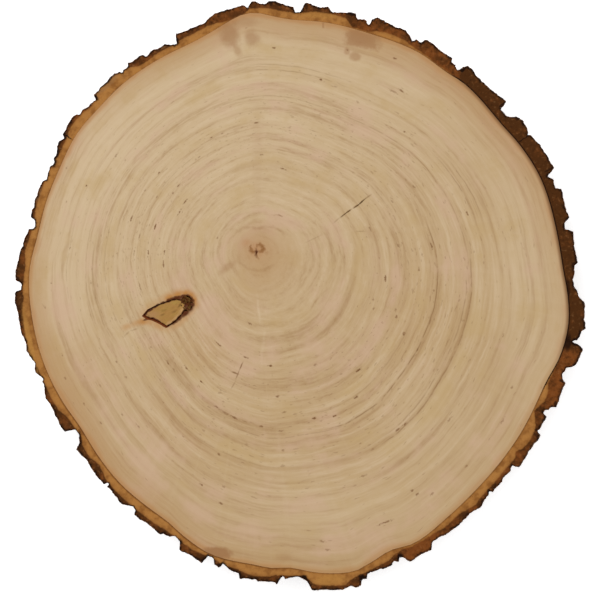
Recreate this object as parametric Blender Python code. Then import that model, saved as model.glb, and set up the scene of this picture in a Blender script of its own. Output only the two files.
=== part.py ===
"""Wood slice: a small trunk cut straight across, lying flat, with its bark on.

Metres, +Z up. The origin is the middle of the underside. Angles are in degrees,
anticlockwise from +X, and distances in the tables are in millimetres from the origin.
"""
import math
from bisect import bisect_right

import bmesh
import bpy
from mathutils import Vector, noise

MM = 0.001

THICKNESS = 24 * MM  # from one sawn face to the other
SEAM = 0.4 * MM  # kept between the wood and the bark
RIM_SET_BACK = 0.2 * MM  # the bark's sawn ends lie this far inside the wood's faces

# Edge of the wood, under the bark: angle and distance.
WOOD_EDGE = (
    (0, 133.8), (6, 132.1), (14, 132.2), (26, 133.8), (34, 133.2), (41, 132.2), (52, 134), (57, 133.5),
    (64, 135.2), (75, 135.5), (85, 137.2), (91, 137.8), (95, 139.8), (98, 142.5), (101, 143.5), (104, 142),
    (108, 139.3), (113, 137.5), (122, 137.7), (130, 138), (137, 137.5), (144, 137.8), (152, 136), (160, 135.2),
    (167, 134.5), (175, 135.8), (188, 133.8), (196, 132.2), (204, 130), (211, 128), (218, 128.8), (226, 130),
    (239, 130.8), (244, 133.5), (251, 136.8), (260, 136.5), (264, 137), (268, 136.2), (274, 139), (281, 140.5),
    (285, 138), (289.5, 135.2), (295, 136.3), (304, 133), (314, 130.8), (328, 130), (340, 130.2), (347, 133.5),
    (354, 134.9),
)

# Bark plates, going round. Each row is one plate: the floor of the fissure before it, then its worn outer edge.
BARK_PLATES = (
    ((3.6, 137.2), (4.6, 138.4), (6.2, 138.2), (6.8, 140), (10, 139.8), (13.2, 140.8), (13.8, 138.4)),
    ((14.2, 136.8), (15.2, 137.2), (15.8, 139.5), (16.2, 140.5), (18.5, 140.3), (22.3, 141.6),
     (22.7, 139.4), (23, 138.8), (24.6, 139.9), (25.3, 138.4)),
    ((25.7, 137.5), (26.2, 141.4), (26.8, 143), (28.5, 142.2), (31, 142), (34.9, 141.2)),
    ((35.15, 139.4), (35.6, 140.8), (36.4, 141.6), (38.4, 142.1), (39.6, 140.6), (40.3, 138.4)),
    ((40.9, 137.3), (42.8, 137), (43, 140.8), (43.3, 142), (46.8, 140.9), (51.5, 141), (53, 142.6),
     (54, 142.9), (54.6, 140.8)),
    ((54.9, 137.8), (55.6, 138.4), (56, 139.5), (57, 139.3), (57.3, 141.3), (60, 141.5), (63.6, 143.3),
     (64.1, 142.6), (64.4, 140.5), (65.6, 141.1)),
    ((66.2, 139.2), (66.6, 140.8), (68.1, 143.2), (70, 142.6), (74.5, 144.7), (75.3, 143)),
    ((75.7, 139.8), (76.4, 142), (78.4, 141.8), (78.7, 144.2), (80, 143.8), (83.6, 142.9), (84.4, 145.8),
     (86.2, 144.8), (88.8, 147.1), (89.4, 145.2)),
    ((89.9, 142.2), (91, 141.8), (91.2, 144.8), (92.5, 145.2), (94.8, 147.8), (96.1, 148.3), (96.8, 147.2),
     (97.8, 147.6), (98.6, 149.2), (99.5, 149.3), (100, 147.8)),
    ((100.4, 146.4), (100.9, 148.4), (103, 147.8), (106.8, 147.8), (108.2, 146.5), (109.2, 144.8),
     (112, 144.6), (114.8, 144.8), (115.4, 145.4), (115.8, 143.6)),
    ((116.1, 140.2), (116.7, 140.8), (118.3, 143.2), (120, 142.9), (120.9, 143.6), (122.2, 142.9)),
    ((122.7, 142.2), (123.1, 144), (124, 144.5), (125.9, 144.4), (126.5, 145.2), (126.9, 143.6),
     (128.2, 143.5)),
    ((128.5, 142.6), (128.8, 144), (130, 145.2), (132, 144.4), (135.9, 144.3)),
    ((136.2, 141.6), (136.8, 142.3), (138.2, 142.4), (139.4, 143.1), (140.6, 142.7), (141, 144.4),
     (141.8, 145.2), (143.6, 144.6), (146, 143.6)),
    ((146.3, 141.8), (147.2, 143.4), (148.5, 142.8), (150, 140.9), (151, 141.2), (151.8, 139.8), (153, 141),
     (155.2, 139.6), (155.8, 140.8), (156.4, 141.3), (160, 141.2), (161.2, 140.6), (162.2, 141.1),
     (163.9, 140.3)),
    ((164.2, 138), (165.2, 137.3), (165.9, 137.6), (166.2, 139.8), (168.2, 141.1), (170, 141.3),
     (172.5, 142.4), (175.2, 143.3), (176.9, 142.9), (177.2, 141.6)),
    ((177.7, 139.5), (178.7, 139.5), (179, 142.2), (179.6, 143), (181.2, 143), (184, 141.7), (187.5, 140.9),
     (190, 139.6), (191.6, 139.8), (193.2, 138.2)),
    ((194.2, 137), (195.2, 138.1), (196.2, 138.1), (197.4, 136)),
    ((198, 135.2), (198.4, 136.2), (199.2, 135.8), (201.8, 137.4), (204, 136.7), (208.5, 136.7),
     (210.1, 136.1), (210.5, 134)),
    ((210.8, 131), (212.3, 130.8), (212.8, 132), (213.7, 132.8), (214.1, 135.3), (214.6, 136.2),
     (217.6, 135.1), (220.6, 136.2), (223.9, 136.5)),
    ((224.4, 134.2), (224.8, 136), (227, 136.6), (229.5, 137.6), (230.2, 136.8)),
    ((231.7, 134.6), (232.3, 135.2), (232.8, 137.2), (233.6, 137.9), (237, 137.7), (239.6, 138.9),
     (240.2, 137.6), (241.6, 137.5)),
    ((242.6, 135.7), (244, 137), (244.3, 139.9), (244.8, 140.9), (247.5, 141.3), (249.9, 143.2),
     (250.2, 141)),
    ((250.6, 137.8), (251.8, 138.8), (252.2, 141.7), (253.4, 142), (253.7, 141)),
    ((254, 139.6), (255.4, 141.8), (257.6, 142.4), (258, 145), (259.4, 144.4), (261, 144), (261.6, 144.9),
     (264.8, 144.2), (265.4, 145.3), (265.9, 143.6)),
    ((266.5, 140.8), (267, 142), (269.8, 141.1), (271.5, 143.6), (272, 146.8), (272.6, 147.7), (276, 148.3),
     (278.4, 149), (279.9, 147.7), (280.9, 149.4), (281.9, 148.5), (282.3, 145.9), (283.3, 145.8),
     (283.7, 143.4), (288.8, 142.9)),
    ((289.5, 141), (290.4, 142.5)),
    ((290.8, 140.2), (291.5, 141.2), (292, 143.4), (292.4, 144.5), (295.2, 143.3), (297.2, 143.7),
     (297.8, 142.2)),
    ((298.1, 140.5), (300, 139.8), (301.4, 140.7), (303.8, 139.9), (306, 139.5), (308.2, 138.8),
     (310.5, 139.6), (312, 138.3), (313.6, 137.3)),
    ((314, 136.4), (314.4, 138.1), (317.6, 137.7)),
    ((318.2, 136.8), (320.2, 137.5)),
    ((321.3, 136.2), (321.7, 139.2), (322.2, 139.7), (326, 138.9), (329.9, 139.6)),
    ((330.3, 136.9), (331, 137.7), (333.9, 137.5)),
    ((334.2, 135.4), (334.8, 135.4), (335.2, 137.3), (336, 137.6), (336.4, 140), (340, 139.5),
     (341.8, 140.4), (342.2, 138.6)),
    ((343.4, 137), (343.8, 138), (344.8, 138.2), (345.1, 140.9), (346, 142.8), (349.2, 144.5), (350, 142)),
    ((350.4, 138.2), (350.8, 140.6), (352.9, 142.6), (353.2, 144.1), (355.5, 143), (358.7, 142.8),
     (359.5, 140.2), (362, 137.4)),
)
LONGEST_STEP = 1.5  # degrees from one column of the bark to the next
CHIPPING = 0.5  # mm that the long edges of a plate are chipped in and out
BARK_LEVELS = (0, 0.1, 0.28, 0.46, 0.64, 0.82, 1)  # share of the thickness below the top face
LEAST_BARK = 1.4 * MM  # bark left over the wood in the deepest fissure
FOOT_TAPER = 0.12  # plates stand this share less proud of the wood at the underside

# What changes on the way down: each strays by "reach", with more waves round and down the higher the other two.
EDGE_WANDER = {"reach": 1.1, "round": 9, "down": 1.4}  # degrees sideways
FACE_WEAR = {"reach": 1.3 * MM, "round": 26, "down": 3.1}  # in and out
WORN_IN = 0.25  # the worn face lies inside the top outline by this share of its reach, on the whole
CRISP_EDGE = 0.2  # share of the thickness in which the wear comes on

# Dead knot on the top face, in mm: a branch stub that the trunk grew round, cut at a slant.
KNOT_OUTLINE = (
    (-78.3, -10.2), (-76.3, -7.6), (-72.2, -5.4), (-67.7, -3.7), (-62.9, -2.1), (-59.4, -2.6), (-57.2, -5.1),
    (-58.1, -7.7), (-60.4, -10.6), (-63.2, -13.4), (-67.1, -15.6), (-70.9, -13.4), (-74.1, -12), (-76.3, -11.5),
)
KNOT_SLANT = Vector((19 * MM, 13 * MM))  # how far the stub lies nearer the pith on the underside
KNOT_TAPER = 0.82  # its size on the underside
KNOT_SHRINK = 0.3 * MM  # it has dried back from both faces
KNOT_SEAM = 0.6 * MM  # open all round it
KNOT_HOLLOW = {"middle": (-56, -3.6), "half_size": (3.4, 3.1), "depth": 4.5}  # mm, rotted bark beside the stub
HOLLOW_WALL = ((0, 1), (0.5, 0.8), (1, 0.35))  # share of its depth, and its size there
HOLLOW_SIDES = 14
HOLLOW_LOBES = 0.12  # how uneven its rim is

# Drying check in the top face and the slit at the pith, in mm.
CHECK = {"start": (18, 37.3), "bend": (26.2, 43.4), "end": (35.5, 50.8), "width": 0.5, "depth": 5}
PITH_SLIT = {"start": (-22, 24.4), "bend": (-21.8, 22.2), "end": (-21.9, 19.6), "width": 0.7, "depth": 3}
SPLIT_FOOT = 0.3  # a split's width at its lower edge, as a share of its width at the face

WOOD_STEP = 2  # degrees between the points of the wood's outline
CUT_OVERLAP = 1 * MM  # cutters stand this far past the face that they cut


def clear_scene():
    for obj in list(bpy.data.objects):
        bpy.data.objects.remove(obj)


def linear(channel):
    """One 0 to 255 screen colour channel as the linear value that a material takes."""
    share = channel / 255
    return share / 12.92 if share <= 0.04045 else ((share + 0.055) / 1.055) ** 2.4


def make_material(name, screen_colour, roughness):
    material = bpy.data.materials.new(name)
    material.use_nodes = True
    shader = material.node_tree.nodes["Principled BSDF"]
    shader.inputs["Base Color"].default_value = (*map(linear, screen_colour), 1)
    shader.inputs["Roughness"].default_value = roughness
    shader.inputs["Metallic"].default_value = 0
    return material


def closed_curve(points):
    """A smooth function of the angle through these (angle, value) points, closed on itself."""
    angles = [angle for angle, _ in points]
    values = [value for _, value in points]
    count = len(points)

    def slope(i):
        after, before = (i + 1) % count, (i - 1) % count
        return (values[after] - values[before]) / ((angles[after] - angles[before]) % 360)

    def at(angle):
        i = (bisect_right(angles, angle % 360) - 1) % count
        j = (i + 1) % count
        span = (angles[j] - angles[i]) % 360
        t = ((angle - angles[i]) % 360) / span
        return (
            (2 * t**3 - 3 * t**2 + 1) * values[i]
            + (t**3 - 2 * t**2 + t) * span * slope(i)
            + (3 * t**2 - 2 * t**3) * values[j]
            + (t**3 - t**2) * span * slope(j)
        )

    return at


wood_edge = closed_curve(WOOD_EDGE)


def polar(angle, radius, z):
    turn = math.radians(angle)
    return Vector((radius * math.cos(turn), radius * math.sin(turn), z))


def mesh_object(name, bm, material=None):
    """Turns the finished bmesh into an object with its faces pointing out."""
    bmesh.ops.recalc_face_normals(bm, faces=bm.faces)
    mesh = bpy.data.meshes.new(name)
    bm.to_mesh(mesh)
    bm.free()
    obj = bpy.data.objects.new(name, mesh)
    bpy.context.scene.collection.objects.link(obj)
    if material:
        mesh.materials.append(material)
    return obj


def bridge(bm, lower, upper):
    """Joins two rings of the same number of vertices with quads."""
    for i, vertex in enumerate(lower):
        after = (i + 1) % len(lower)
        bm.faces.new((vertex, lower[after], upper[after], upper[i]))


def stacked(name, rings, material=None):
    """A solid whose outline goes through these rings of points, with flat ends."""
    bm = bmesh.new()
    loops = [[bm.verts.new(point) for point in ring] for ring in rings]
    for lower, upper in zip(loops, loops[1:]):
        bridge(bm, lower, upper)
    bm.faces.new(loops[0])
    bm.faces.new(loops[-1])
    return mesh_object(name, bm, material)


def bark_columns():
    """(angle, height over the wood) round the top face, with long runs divided and slightly roughened."""
    points = [point for plate in BARK_PLATES for point in plate]
    columns = []
    first_angle, first_radius = points[0]
    once_round = (first_angle + 360, first_radius)
    for (angle, radius), (next_angle, next_radius) in zip(points, points[1:] + [once_round]):
        pieces = math.ceil((next_angle - angle) / LONGEST_STEP)
        for i in range(pieces):
            share = i / pieces
            here = angle + share * (next_angle - angle)
            chip = CHIPPING * noise.noise(Vector((here, 0, 0))) if i else 0
            columns.append((here, (radius + share * (next_radius - radius) + chip - wood_edge(here)) * MM))
    return columns


def straying(kind, angle, depth):
    """A smooth random value, about -1 to 1, that has no seam on its way round the trunk."""
    return noise.noise(polar(angle, kind["round"], kind["down"] * depth))


def weathered(angle, height, depth):
    """Where a column of the bark is, this share of the thickness down: its angle and height over the wood."""
    drift = EDGE_WANDER["reach"] * depth * straying(EDGE_WANDER, angle, depth)
    worn = FACE_WEAR["reach"] * (straying(FACE_WEAR, angle, depth) - WORN_IN) * min(1, depth / CRISP_EDGE)
    return angle + drift, max(LEAST_BARK, height * (1 - FOOT_TAPER * depth) + worn)


def make_bark(material):
    """The bark: a ring round the wood whose outer side carries the plates and fissures."""
    bm = bmesh.new()
    columns = bark_columns()
    outer = []
    for depth in BARK_LEVELS:
        z = THICKNESS - RIM_SET_BACK - depth * (THICKNESS - 2 * RIM_SET_BACK)
        ring = []
        for column in columns:
            angle, height = weathered(*column, depth)
            ring.append(bm.verts.new(polar(angle, wood_edge(angle) * MM + height, z)))
        outer.append(ring)
    inner = []
    for ring in (outer[0], outer[-1]):
        inner.append([])
        for vertex in ring:
            angle = math.degrees(math.atan2(vertex.co.y, vertex.co.x))
            inner[-1].append(bm.verts.new(polar(angle, wood_edge(angle) * MM + SEAM, vertex.co.z)))
    for upper, lower in zip(outer, outer[1:]):
        bridge(bm, lower, upper)
    bridge(bm, inner[0], inner[1])
    bridge(bm, outer[0], inner[0])
    bridge(bm, inner[1], outer[-1])
    return mesh_object("bark_ring", bm, material)


def knot_ring(share_down, z, spread):
    """The stub's outline this share of the way to the underside, pushed outwards by spread."""
    points = [Vector(point) * MM for point in KNOT_OUTLINE]
    middle = sum(points, Vector((0, 0))) / len(points)
    size = 1 - share_down * (1 - KNOT_TAPER)
    ring = []
    for i, point in enumerate(points):
        along = points[(i + 1) % len(points)] - points[i - 1]
        outward = Vector((-along.y, along.x)).normalized()
        at = middle + (point - middle) * size + share_down * KNOT_SLANT + outward * spread
        ring.append(Vector((at.x, at.y, z)))
    return ring


def knot_prism(name, top, bottom, spread, material=None):
    return stacked(name, [knot_ring(1 - z / THICKNESS, z, spread) for z in (top, bottom)], material)


def hollow_cutter():
    """The pit of rotted bark beside the knot: wide at the face, closing towards its floor."""
    middle = Vector(KNOT_HOLLOW["middle"]) * MM
    across, along = (half * MM for half in KNOT_HOLLOW["half_size"])
    levels = [(THICKNESS - depth * KNOT_HOLLOW["depth"] * MM, size) for depth, size in HOLLOW_WALL]
    rings = []
    for z, size in [(THICKNESS + CUT_OVERLAP, 1)] + levels:
        ring = []
        for i in range(HOLLOW_SIDES):
            turn = 2 * math.pi * i / HOLLOW_SIDES
            reach = size * (1 + HOLLOW_LOBES * math.sin(3 * turn))
            x = middle.x + across * math.cos(turn) * reach
            y = middle.y + along * math.sin(turn) * reach
            ring.append(Vector((x, y, z)))
        rings.append(ring)
    return stacked("knot_hollow_cutter", rings)


def split_cutter(name, split):
    """A crack: a blade with a bend in it, widest there, that closes towards its lower edge."""
    start, bend, end = (Vector(split[key]) * MM for key in ("start", "bend", "end"))
    across = Vector((start.y - end.y, end.x - start.x)).normalized() * split["width"] * MM / 2
    rings = []
    for z, wide in ((THICKNESS + CUT_OVERLAP, 1), (THICKNESS - split["depth"] * MM, SPLIT_FOOT)):
        plan = (start, bend - across * wide, end, bend + across * wide)
        rings.append([Vector((point.x, point.y, z)) for point in plan])
    return stacked(name, rings)


def make_wood(material):
    """The wood: a plain disc of the trunk's outline, with the knot's pocket and the cracks cut out of it."""
    columns = range(0, 360, WOOD_STEP)
    rings = [[polar(angle, wood_edge(angle) * MM, z) for angle in columns] for z in (0, THICKNESS)]
    wood = stacked("wood_disc", rings, material)
    cutters = (
        knot_prism("knot_pocket_cutter", THICKNESS + CUT_OVERLAP, -CUT_OVERLAP, KNOT_SEAM),
        hollow_cutter(),
        split_cutter("check_cutter", CHECK),
        split_cutter("pith_slit_cutter", PITH_SLIT),
    )
    for cutter in cutters:
        cutter.hide_render = True
        cutter.display_type = "WIRE"
        cut = wood.modifiers.new(cutter.name, "BOOLEAN")
        cut.operation = "DIFFERENCE"
        cut.solver = "EXACT"
        cut.object = cutter
    return wood


def main():
    clear_scene()
    make_wood(make_material("pale_wood", (203, 175, 137), 0.6))
    make_bark(make_material("brown_bark", (104, 62, 32), 0.9))
    knot_wood = make_material("knot_wood", (165, 124, 64), 0.7)
    knot_prism("dead_knot", THICKNESS - KNOT_SHRINK, KNOT_SHRINK, 0, knot_wood)


main()
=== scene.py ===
import math
import random

import bmesh
import bpy
import numpy as np
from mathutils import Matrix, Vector, kdtree


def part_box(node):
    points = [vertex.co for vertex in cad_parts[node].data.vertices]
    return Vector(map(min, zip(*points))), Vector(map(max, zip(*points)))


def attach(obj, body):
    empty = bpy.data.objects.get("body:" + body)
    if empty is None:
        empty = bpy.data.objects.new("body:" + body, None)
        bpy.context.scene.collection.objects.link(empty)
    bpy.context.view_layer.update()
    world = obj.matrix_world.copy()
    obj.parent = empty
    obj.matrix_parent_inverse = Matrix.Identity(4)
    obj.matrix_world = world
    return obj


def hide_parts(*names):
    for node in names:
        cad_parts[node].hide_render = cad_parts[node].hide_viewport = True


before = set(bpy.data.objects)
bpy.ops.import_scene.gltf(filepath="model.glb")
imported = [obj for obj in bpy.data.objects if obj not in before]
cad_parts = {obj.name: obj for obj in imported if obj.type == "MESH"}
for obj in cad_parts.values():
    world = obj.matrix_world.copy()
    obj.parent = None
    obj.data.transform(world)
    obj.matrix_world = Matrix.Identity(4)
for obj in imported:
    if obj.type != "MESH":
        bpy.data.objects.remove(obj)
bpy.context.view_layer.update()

# Wood slice: sanded face with its rings, bark all round, one dead knot. Metres, +Z up.
# Angles are in degrees anticlockwise from +X, and tables of places are in mm.
mm = 0.001
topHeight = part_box("wood_disc")[1].z
pith = Vector((-21.5, 22.75)) * mm  # where the rings start
rimStart = 120 * mm  # the wood's rim lies beyond this all round, and the knot and the cracks within it
underFace = 0.1 * mm  # marks on the face reach this little way down
studioGain = 1.18  # how much the studio's light lifts a colour; colours below are given as they look in it


def screen(red, green, blue):
    # a 0 to 255 screen colour as the linear colour that a material takes
    shares = [channel / 255 for channel in (red, green, blue)]
    linear = [s / 12.92 if s <= 0.04045 else ((s + 0.055) / 1.055) ** 2.4 for s in shares]
    return (*[channel / studioGain for channel in linear], 1)


# Object and edit mode helpers

def pickOnly(piece):
    bpy.ops.object.select_all(action="DESELECT")
    piece.select_set(True)
    bpy.context.view_layer.objects.active = piece


def copyOfNode(node, name):
    # a merged copy of a CAD node, to be shaped further
    piece = bpy.data.objects.new(name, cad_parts[node].data.copy())
    piece.data.name = name
    piece.data.materials.clear()
    bpy.context.scene.collection.objects.link(piece)
    pickOnly(piece)
    if piece.data.has_custom_normals:
        bpy.ops.mesh.customdata_custom_splitnormals_clear()
    bpy.ops.object.mode_set(mode="EDIT")
    bpy.ops.mesh.select_all(action="SELECT")
    bpy.ops.mesh.remove_doubles(threshold=0.002 * mm)
    bpy.ops.object.mode_set(mode="OBJECT")
    return piece


def choose(piece, kind, rule):
    # in edit mode, selects the points, edges or faces that the rule takes
    bpy.ops.mesh.select_all(action="DESELECT")
    bpy.ops.mesh.select_mode(type=kind)
    mesh = bmesh.from_edit_mesh(piece.data)
    parts = {"VERT": mesh.verts, "EDGE": mesh.edges, "FACE": mesh.faces}[kind]
    for part in parts:
        if rule(part):
            part.select_set(True)
    mesh.select_flush_mode()
    bmesh.update_edit_mesh(piece.data)


def applyAll(piece):
    pickOnly(piece)
    for modifier in list(piece.modifiers):
        bpy.ops.object.modifier_apply(modifier=modifier.name)


def finish(piece, degrees, node=None):
    # smooth but for edges sharper than this, and in place of a CAD node where one is named
    pickOnly(piece)
    bpy.ops.object.shade_smooth_by_angle(angle=math.radians(degrees))
    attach(piece, "root")
    if node:
        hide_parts(node)
    print(piece.name + ":", len(piece.data.polygons), "faces")


def voxelMesh(piece, size):
    # one closed skin of faces this size
    remesh = piece.modifiers.new("remesh", "REMESH")
    remesh.mode = "VOXEL"
    remesh.voxel_size = size
    applyAll(piece)


def pointsOf(piece):
    # the mesh points as rows of x, y, z
    places = np.zeros(len(piece.data.vertices) * 3)
    piece.data.vertices.foreach_get("co", places)
    return places.reshape(-1, 3)


def putPoints(piece, places):
    piece.data.vertices.foreach_set("co", places.ravel())
    piece.data.update()


def writeAttribute(piece, name, values):
    layer = piece.data.attributes.new(name, "FLOAT", "POINT")
    layer.data.foreach_set("value", np.asarray(values, dtype=np.float32))


def weightGroup(piece, name, weights):
    group = piece.vertex_groups.new(name=name)
    for index, weight in enumerate(weights):
        if weight > 0.001:
            group.add([index], float(weight), "REPLACE")


def displaceBy(piece, name, kind, size, depth, group, middle=0.5, direction="NORMAL", guide=None, **settings):
    texture = bpy.data.textures.new(name, kind)
    texture.noise_scale = size
    for key, value in settings.items():
        setattr(texture, key, value)
    modifier = piece.modifiers.new(name, "DISPLACE")
    modifier.texture = texture
    modifier.strength = depth
    modifier.mid_level = middle
    modifier.direction = direction
    modifier.vertex_group = group
    if guide:
        modifier.texture_coords = "OBJECT"
        modifier.texture_coords_object = guide


def roughenAll(piece, name, size, depth, middle):
    weightGroup(piece, "all", np.ones(len(piece.data.vertices)))
    displaceBy(piece, name, "CLOUDS", size, depth, "all", middle, noise_depth=2)
    applyAll(piece)
    piece.vertex_groups.clear()


def around(table, degrees):
    # a value read from a table of (angle, value) rows that closes on itself
    angles, values = zip(*table)
    return np.interp(degrees, angles, values, period=360)


def rise(values, low, high):
    # 0 at low, 1 at high, smooth between
    share = np.clip((values - low) / (high - low), 0, 1)
    return share * share * (3 - 2 * share)


# Where the wood ends

def woodOutline(centre):
    # the outline of the CAD disc's top face, as angles and distances round this centre
    points = {
        (round(point.co.x, 7), round(point.co.y, 7))
        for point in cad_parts["wood_disc"].data.vertices
        if point.co.z > topHeight - 0.3 * mm and point.co.xy.length > rimStart
    }
    steps = [(x - centre.x, y - centre.y) for x, y in points]
    return np.array(sorted((math.atan2(y, x), math.hypot(x, y)) for x, y in steps)).T


woodAboutOrigin = woodOutline(Vector((0, 0)))
woodAboutPith = woodOutline(pith)


def edgeAt(outline, turns):
    return np.interp(turns, *outline, period=2 * math.pi)


# How far the rings bulge or draw in from plain copies of the wood's outline, as a share of the radius
ringBend = (
    (0, 0), (20, -0.01), (35, -0.022), (45, -0.04), (55, -0.05), (65, -0.047), (80, -0.03), (90, -0.026),
    (110, -0.022), (130, -0.018), (150, -0.007), (165, 0.005), (180, 0), (200, -0.015), (215, -0.035),
    (230, -0.028), (240, -0.02), (252, 0), (262, -0.01), (272, 0.005), (285, -0.015), (295, 0.003),
    (310, 0.01), (325, 0), (340, 0),
)
bendReach = ((0, 0), (0.3, 0.6), (0.6, 1), (0.7, 1), (1, 0))  # how much of it counts, by share of the radius
allRound = np.arange(360)


def softened(values, spread):
    # a value for each degree, blurred over its neighbours all round
    reach = np.arange(-40, 41)
    weights = np.exp(-0.5 * (reach / spread) ** 2)
    return sum(weight * np.roll(values, step) for step, weight in zip(reach, weights)) / weights.sum()


softEdge = softened(edgeAt(woodAboutPith, np.radians(allRound)), 11)
softBend = softened(around(ringBend, allRound), 5)


def ringShare(degrees, distance):
    # the share of the way out that the ring through this place has on the whole
    rim = edgeAt(woodAboutPith, np.radians(degrees))
    smoothRim = np.interp(degrees, allRound, softEdge, period=360)
    nearRim = rise(distance / rim, 0.7, 1)
    share = distance / (smoothRim + (rim - smoothRim) * nearRim)
    return share - np.interp(degrees, allRound, softBend, period=360) * np.interp(share, *zip(*bendReach))


# Material helpers

def addNode(tree, kind, inputs=None, **settings):
    node = tree.nodes.new(kind)
    for key, value in settings.items():
        setattr(node, key, value)
    for key, value in (inputs or {}).items():
        if isinstance(value, bpy.types.NodeSocket):
            tree.links.new(value, node.inputs[key])
        else:
            node.inputs[key].default_value = value
    return node


def calc(tree, operation, *values, clamp=False):
    node = addNode(tree, "ShaderNodeMath", dict(enumerate(values)), operation=operation, use_clamp=clamp)
    return node.outputs[0]


def vectorCalc(tree, operation, *values, result="Vector"):
    node = addNode(tree, "ShaderNodeVectorMath", operation=operation)
    for index, value in enumerate(values):
        if isinstance(value, bpy.types.NodeSocket):
            tree.links.new(value, node.inputs[index])
        else:
            node.inputs[index].default_value = value
    return node.outputs[result]


def mixColours(tree, share, first, second):
    return addNode(tree, "ShaderNodeMix", {0: share, 6: first, 7: second}, data_type="RGBA").outputs[2]


def fade(tree, value, low, high, to=1):
    # 0 at low, to at high, smooth between
    inputs = {0: value, 1: low, 2: high, 3: 0, 4: to}
    return addNode(tree, "ShaderNodeMapRange", inputs, interpolation_type="SMOOTHSTEP").outputs[0]


def noiseOf(tree, vector, scale, detail=2, roughness=0.5):
    inputs = {"Vector": vector, "Scale": scale, "Detail": detail, "Roughness": roughness}
    return addNode(tree, "ShaderNodeTexNoise", inputs).outputs["Fac"]


def stretched(tree, vector, factors, turn=0):
    inputs = {"Vector": vector, "Rotation": (0, 0, math.radians(turn)), "Scale": factors}
    return addNode(tree, "ShaderNodeMapping", inputs, vector_type="POINT").outputs[0]


def patch(tree, places, middle, halfSize, turn=0, square=False):
    # 0 in the middle of a spot on the top face, 1 at its edge, and more beyond and below the face
    forward = Vector((math.cos(math.radians(turn)), math.sin(math.radians(turn)), 0))
    longSide = forward / (halfSize[0] * mm)
    shortSide = Vector((-forward.y, forward.x, 0)) / (halfSize[1] * mm)
    longSide.z = 1 / underFace
    centre = Vector((middle[0] * mm, middle[1] * mm, topHeight))
    first = vectorCalc(tree, "DOT_PRODUCT", places, longSide, result="Value")
    second = vectorCalc(tree, "DOT_PRODUCT", places, shortSide, result="Value")
    if square:
        first = calc(tree, "ABSOLUTE", calc(tree, "SUBTRACT", first, longSide.dot(centre)))
        second = calc(tree, "ABSOLUTE", calc(tree, "SUBTRACT", second, shortSide.dot(centre)))
        return calc(tree, "MAXIMUM", first, second)
    spot = addNode(tree, "ShaderNodeCombineXYZ", {0: first, 1: second}).outputs[0]
    target = (longSide.dot(centre), shortSide.dot(centre), 0)
    return vectorCalc(tree, "DISTANCE", spot, target, result="Value")


def shaken(tree, places, scale, reach):
    # places pushed about on the face by up to half this many mm, for ragged edges
    inputs = {"Vector": places, "Scale": scale, "Detail": 2}
    push = addNode(tree, "ShaderNodeTexNoise", inputs).outputs["Color"]
    push = vectorCalc(tree, "SUBTRACT", push, (0.5, 0.5, 0.5))
    return vectorCalc(tree, "MULTIPLY_ADD", push, (reach * mm, reach * mm, 0), places)


def stroke(tree, places, points, width):
    # the nearest of the long spots that follow these points, as patch gives it
    nearest = None
    for start, end in zip(points, points[1:]):
        step = Vector(end) - Vector(start)
        middle = (Vector(end) + Vector(start)) / 2
        halfSize = (step.length * 0.5 + width * 0.6, width)
        spot = patch(tree, places, middle, halfSize, math.degrees(math.atan2(step.y, step.x)))
        nearest = calc(tree, "MINIMUM", nearest, spot) if nearest else spot
    return nearest


def addStrokes(tree, places, colour, rows, look, starts, full):
    # paints rows of points, half width (mm), strength and colour name over a colour, each fading in
    # between these two shares of its half width
    for points, width, strength, name in rows:
        mark = fade(tree, stroke(tree, places, points, width), starts, full, strength)
        colour = mixColours(tree, mark, colour, look[name])
    return colour


def attributeOf(tree, name):
    return addNode(tree, "ShaderNodeAttribute", attribute_name=name).outputs["Fac"]


def newMaterial(name, roughness, specular):
    material = bpy.data.materials.new(name)
    material.use_nodes = True
    tree = material.node_tree
    shader = tree.nodes["Principled BSDF"]
    shader.inputs["Roughness"].default_value = roughness
    shader.inputs["Specular IOR Level"].default_value = specular
    return material, tree, shader


def bumpBy(tree, shader, height, strength, distance):
    bump = addNode(tree, "ShaderNodeBump", {"Height": height, "Strength": strength, "Distance": distance})
    tree.links.new(bump.outputs[0], shader.inputs["Normal"])


# Wood colours and marks

woodLook = {
    # painted light and shade: shadySide is the lower right, darker as the side away from the light, and
    # paleSide is the upper left, paler as the side towards it; the tones below also use paleSide for pale
    # patches
    "shadySide": screen(188, 157, 115),  # lower right of the face
    "paleSide": screen(203, 177, 140),  # upper left
    "ringLine": screen(158, 120, 78),
    "rim": screen(174, 130, 82),
    "heart": screen(181, 143, 100),
    "ray": screen(214, 190, 156),
    "fleck": screen(118, 78, 42),
    "hairline": screen(122, 86, 46),
    "stain": screen(160, 117, 77),
    "curl": screen(138, 92, 46),
    "blush": screen(180, 128, 84),
    "scorch": screen(84, 38, 8),
    "knotGlow": screen(187, 138, 86),
    "knotOrange": screen(182, 124, 60),
    "edge": screen(178, 124, 70),  # last millimetre of the wood
    "edgeDark": screen(108, 72, 42),
    "pink": screen(205, 171, 143),
    "olive": screen(191, 161, 113),
    "ringStrength": 0.34,
    "darkRings": 0.54,
    "paleRings": 0.45,
    "mottle": 0.6,
    "rays": 0.08,
    "roughness": 0.62,
    "specular": 0.1,
}

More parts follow.
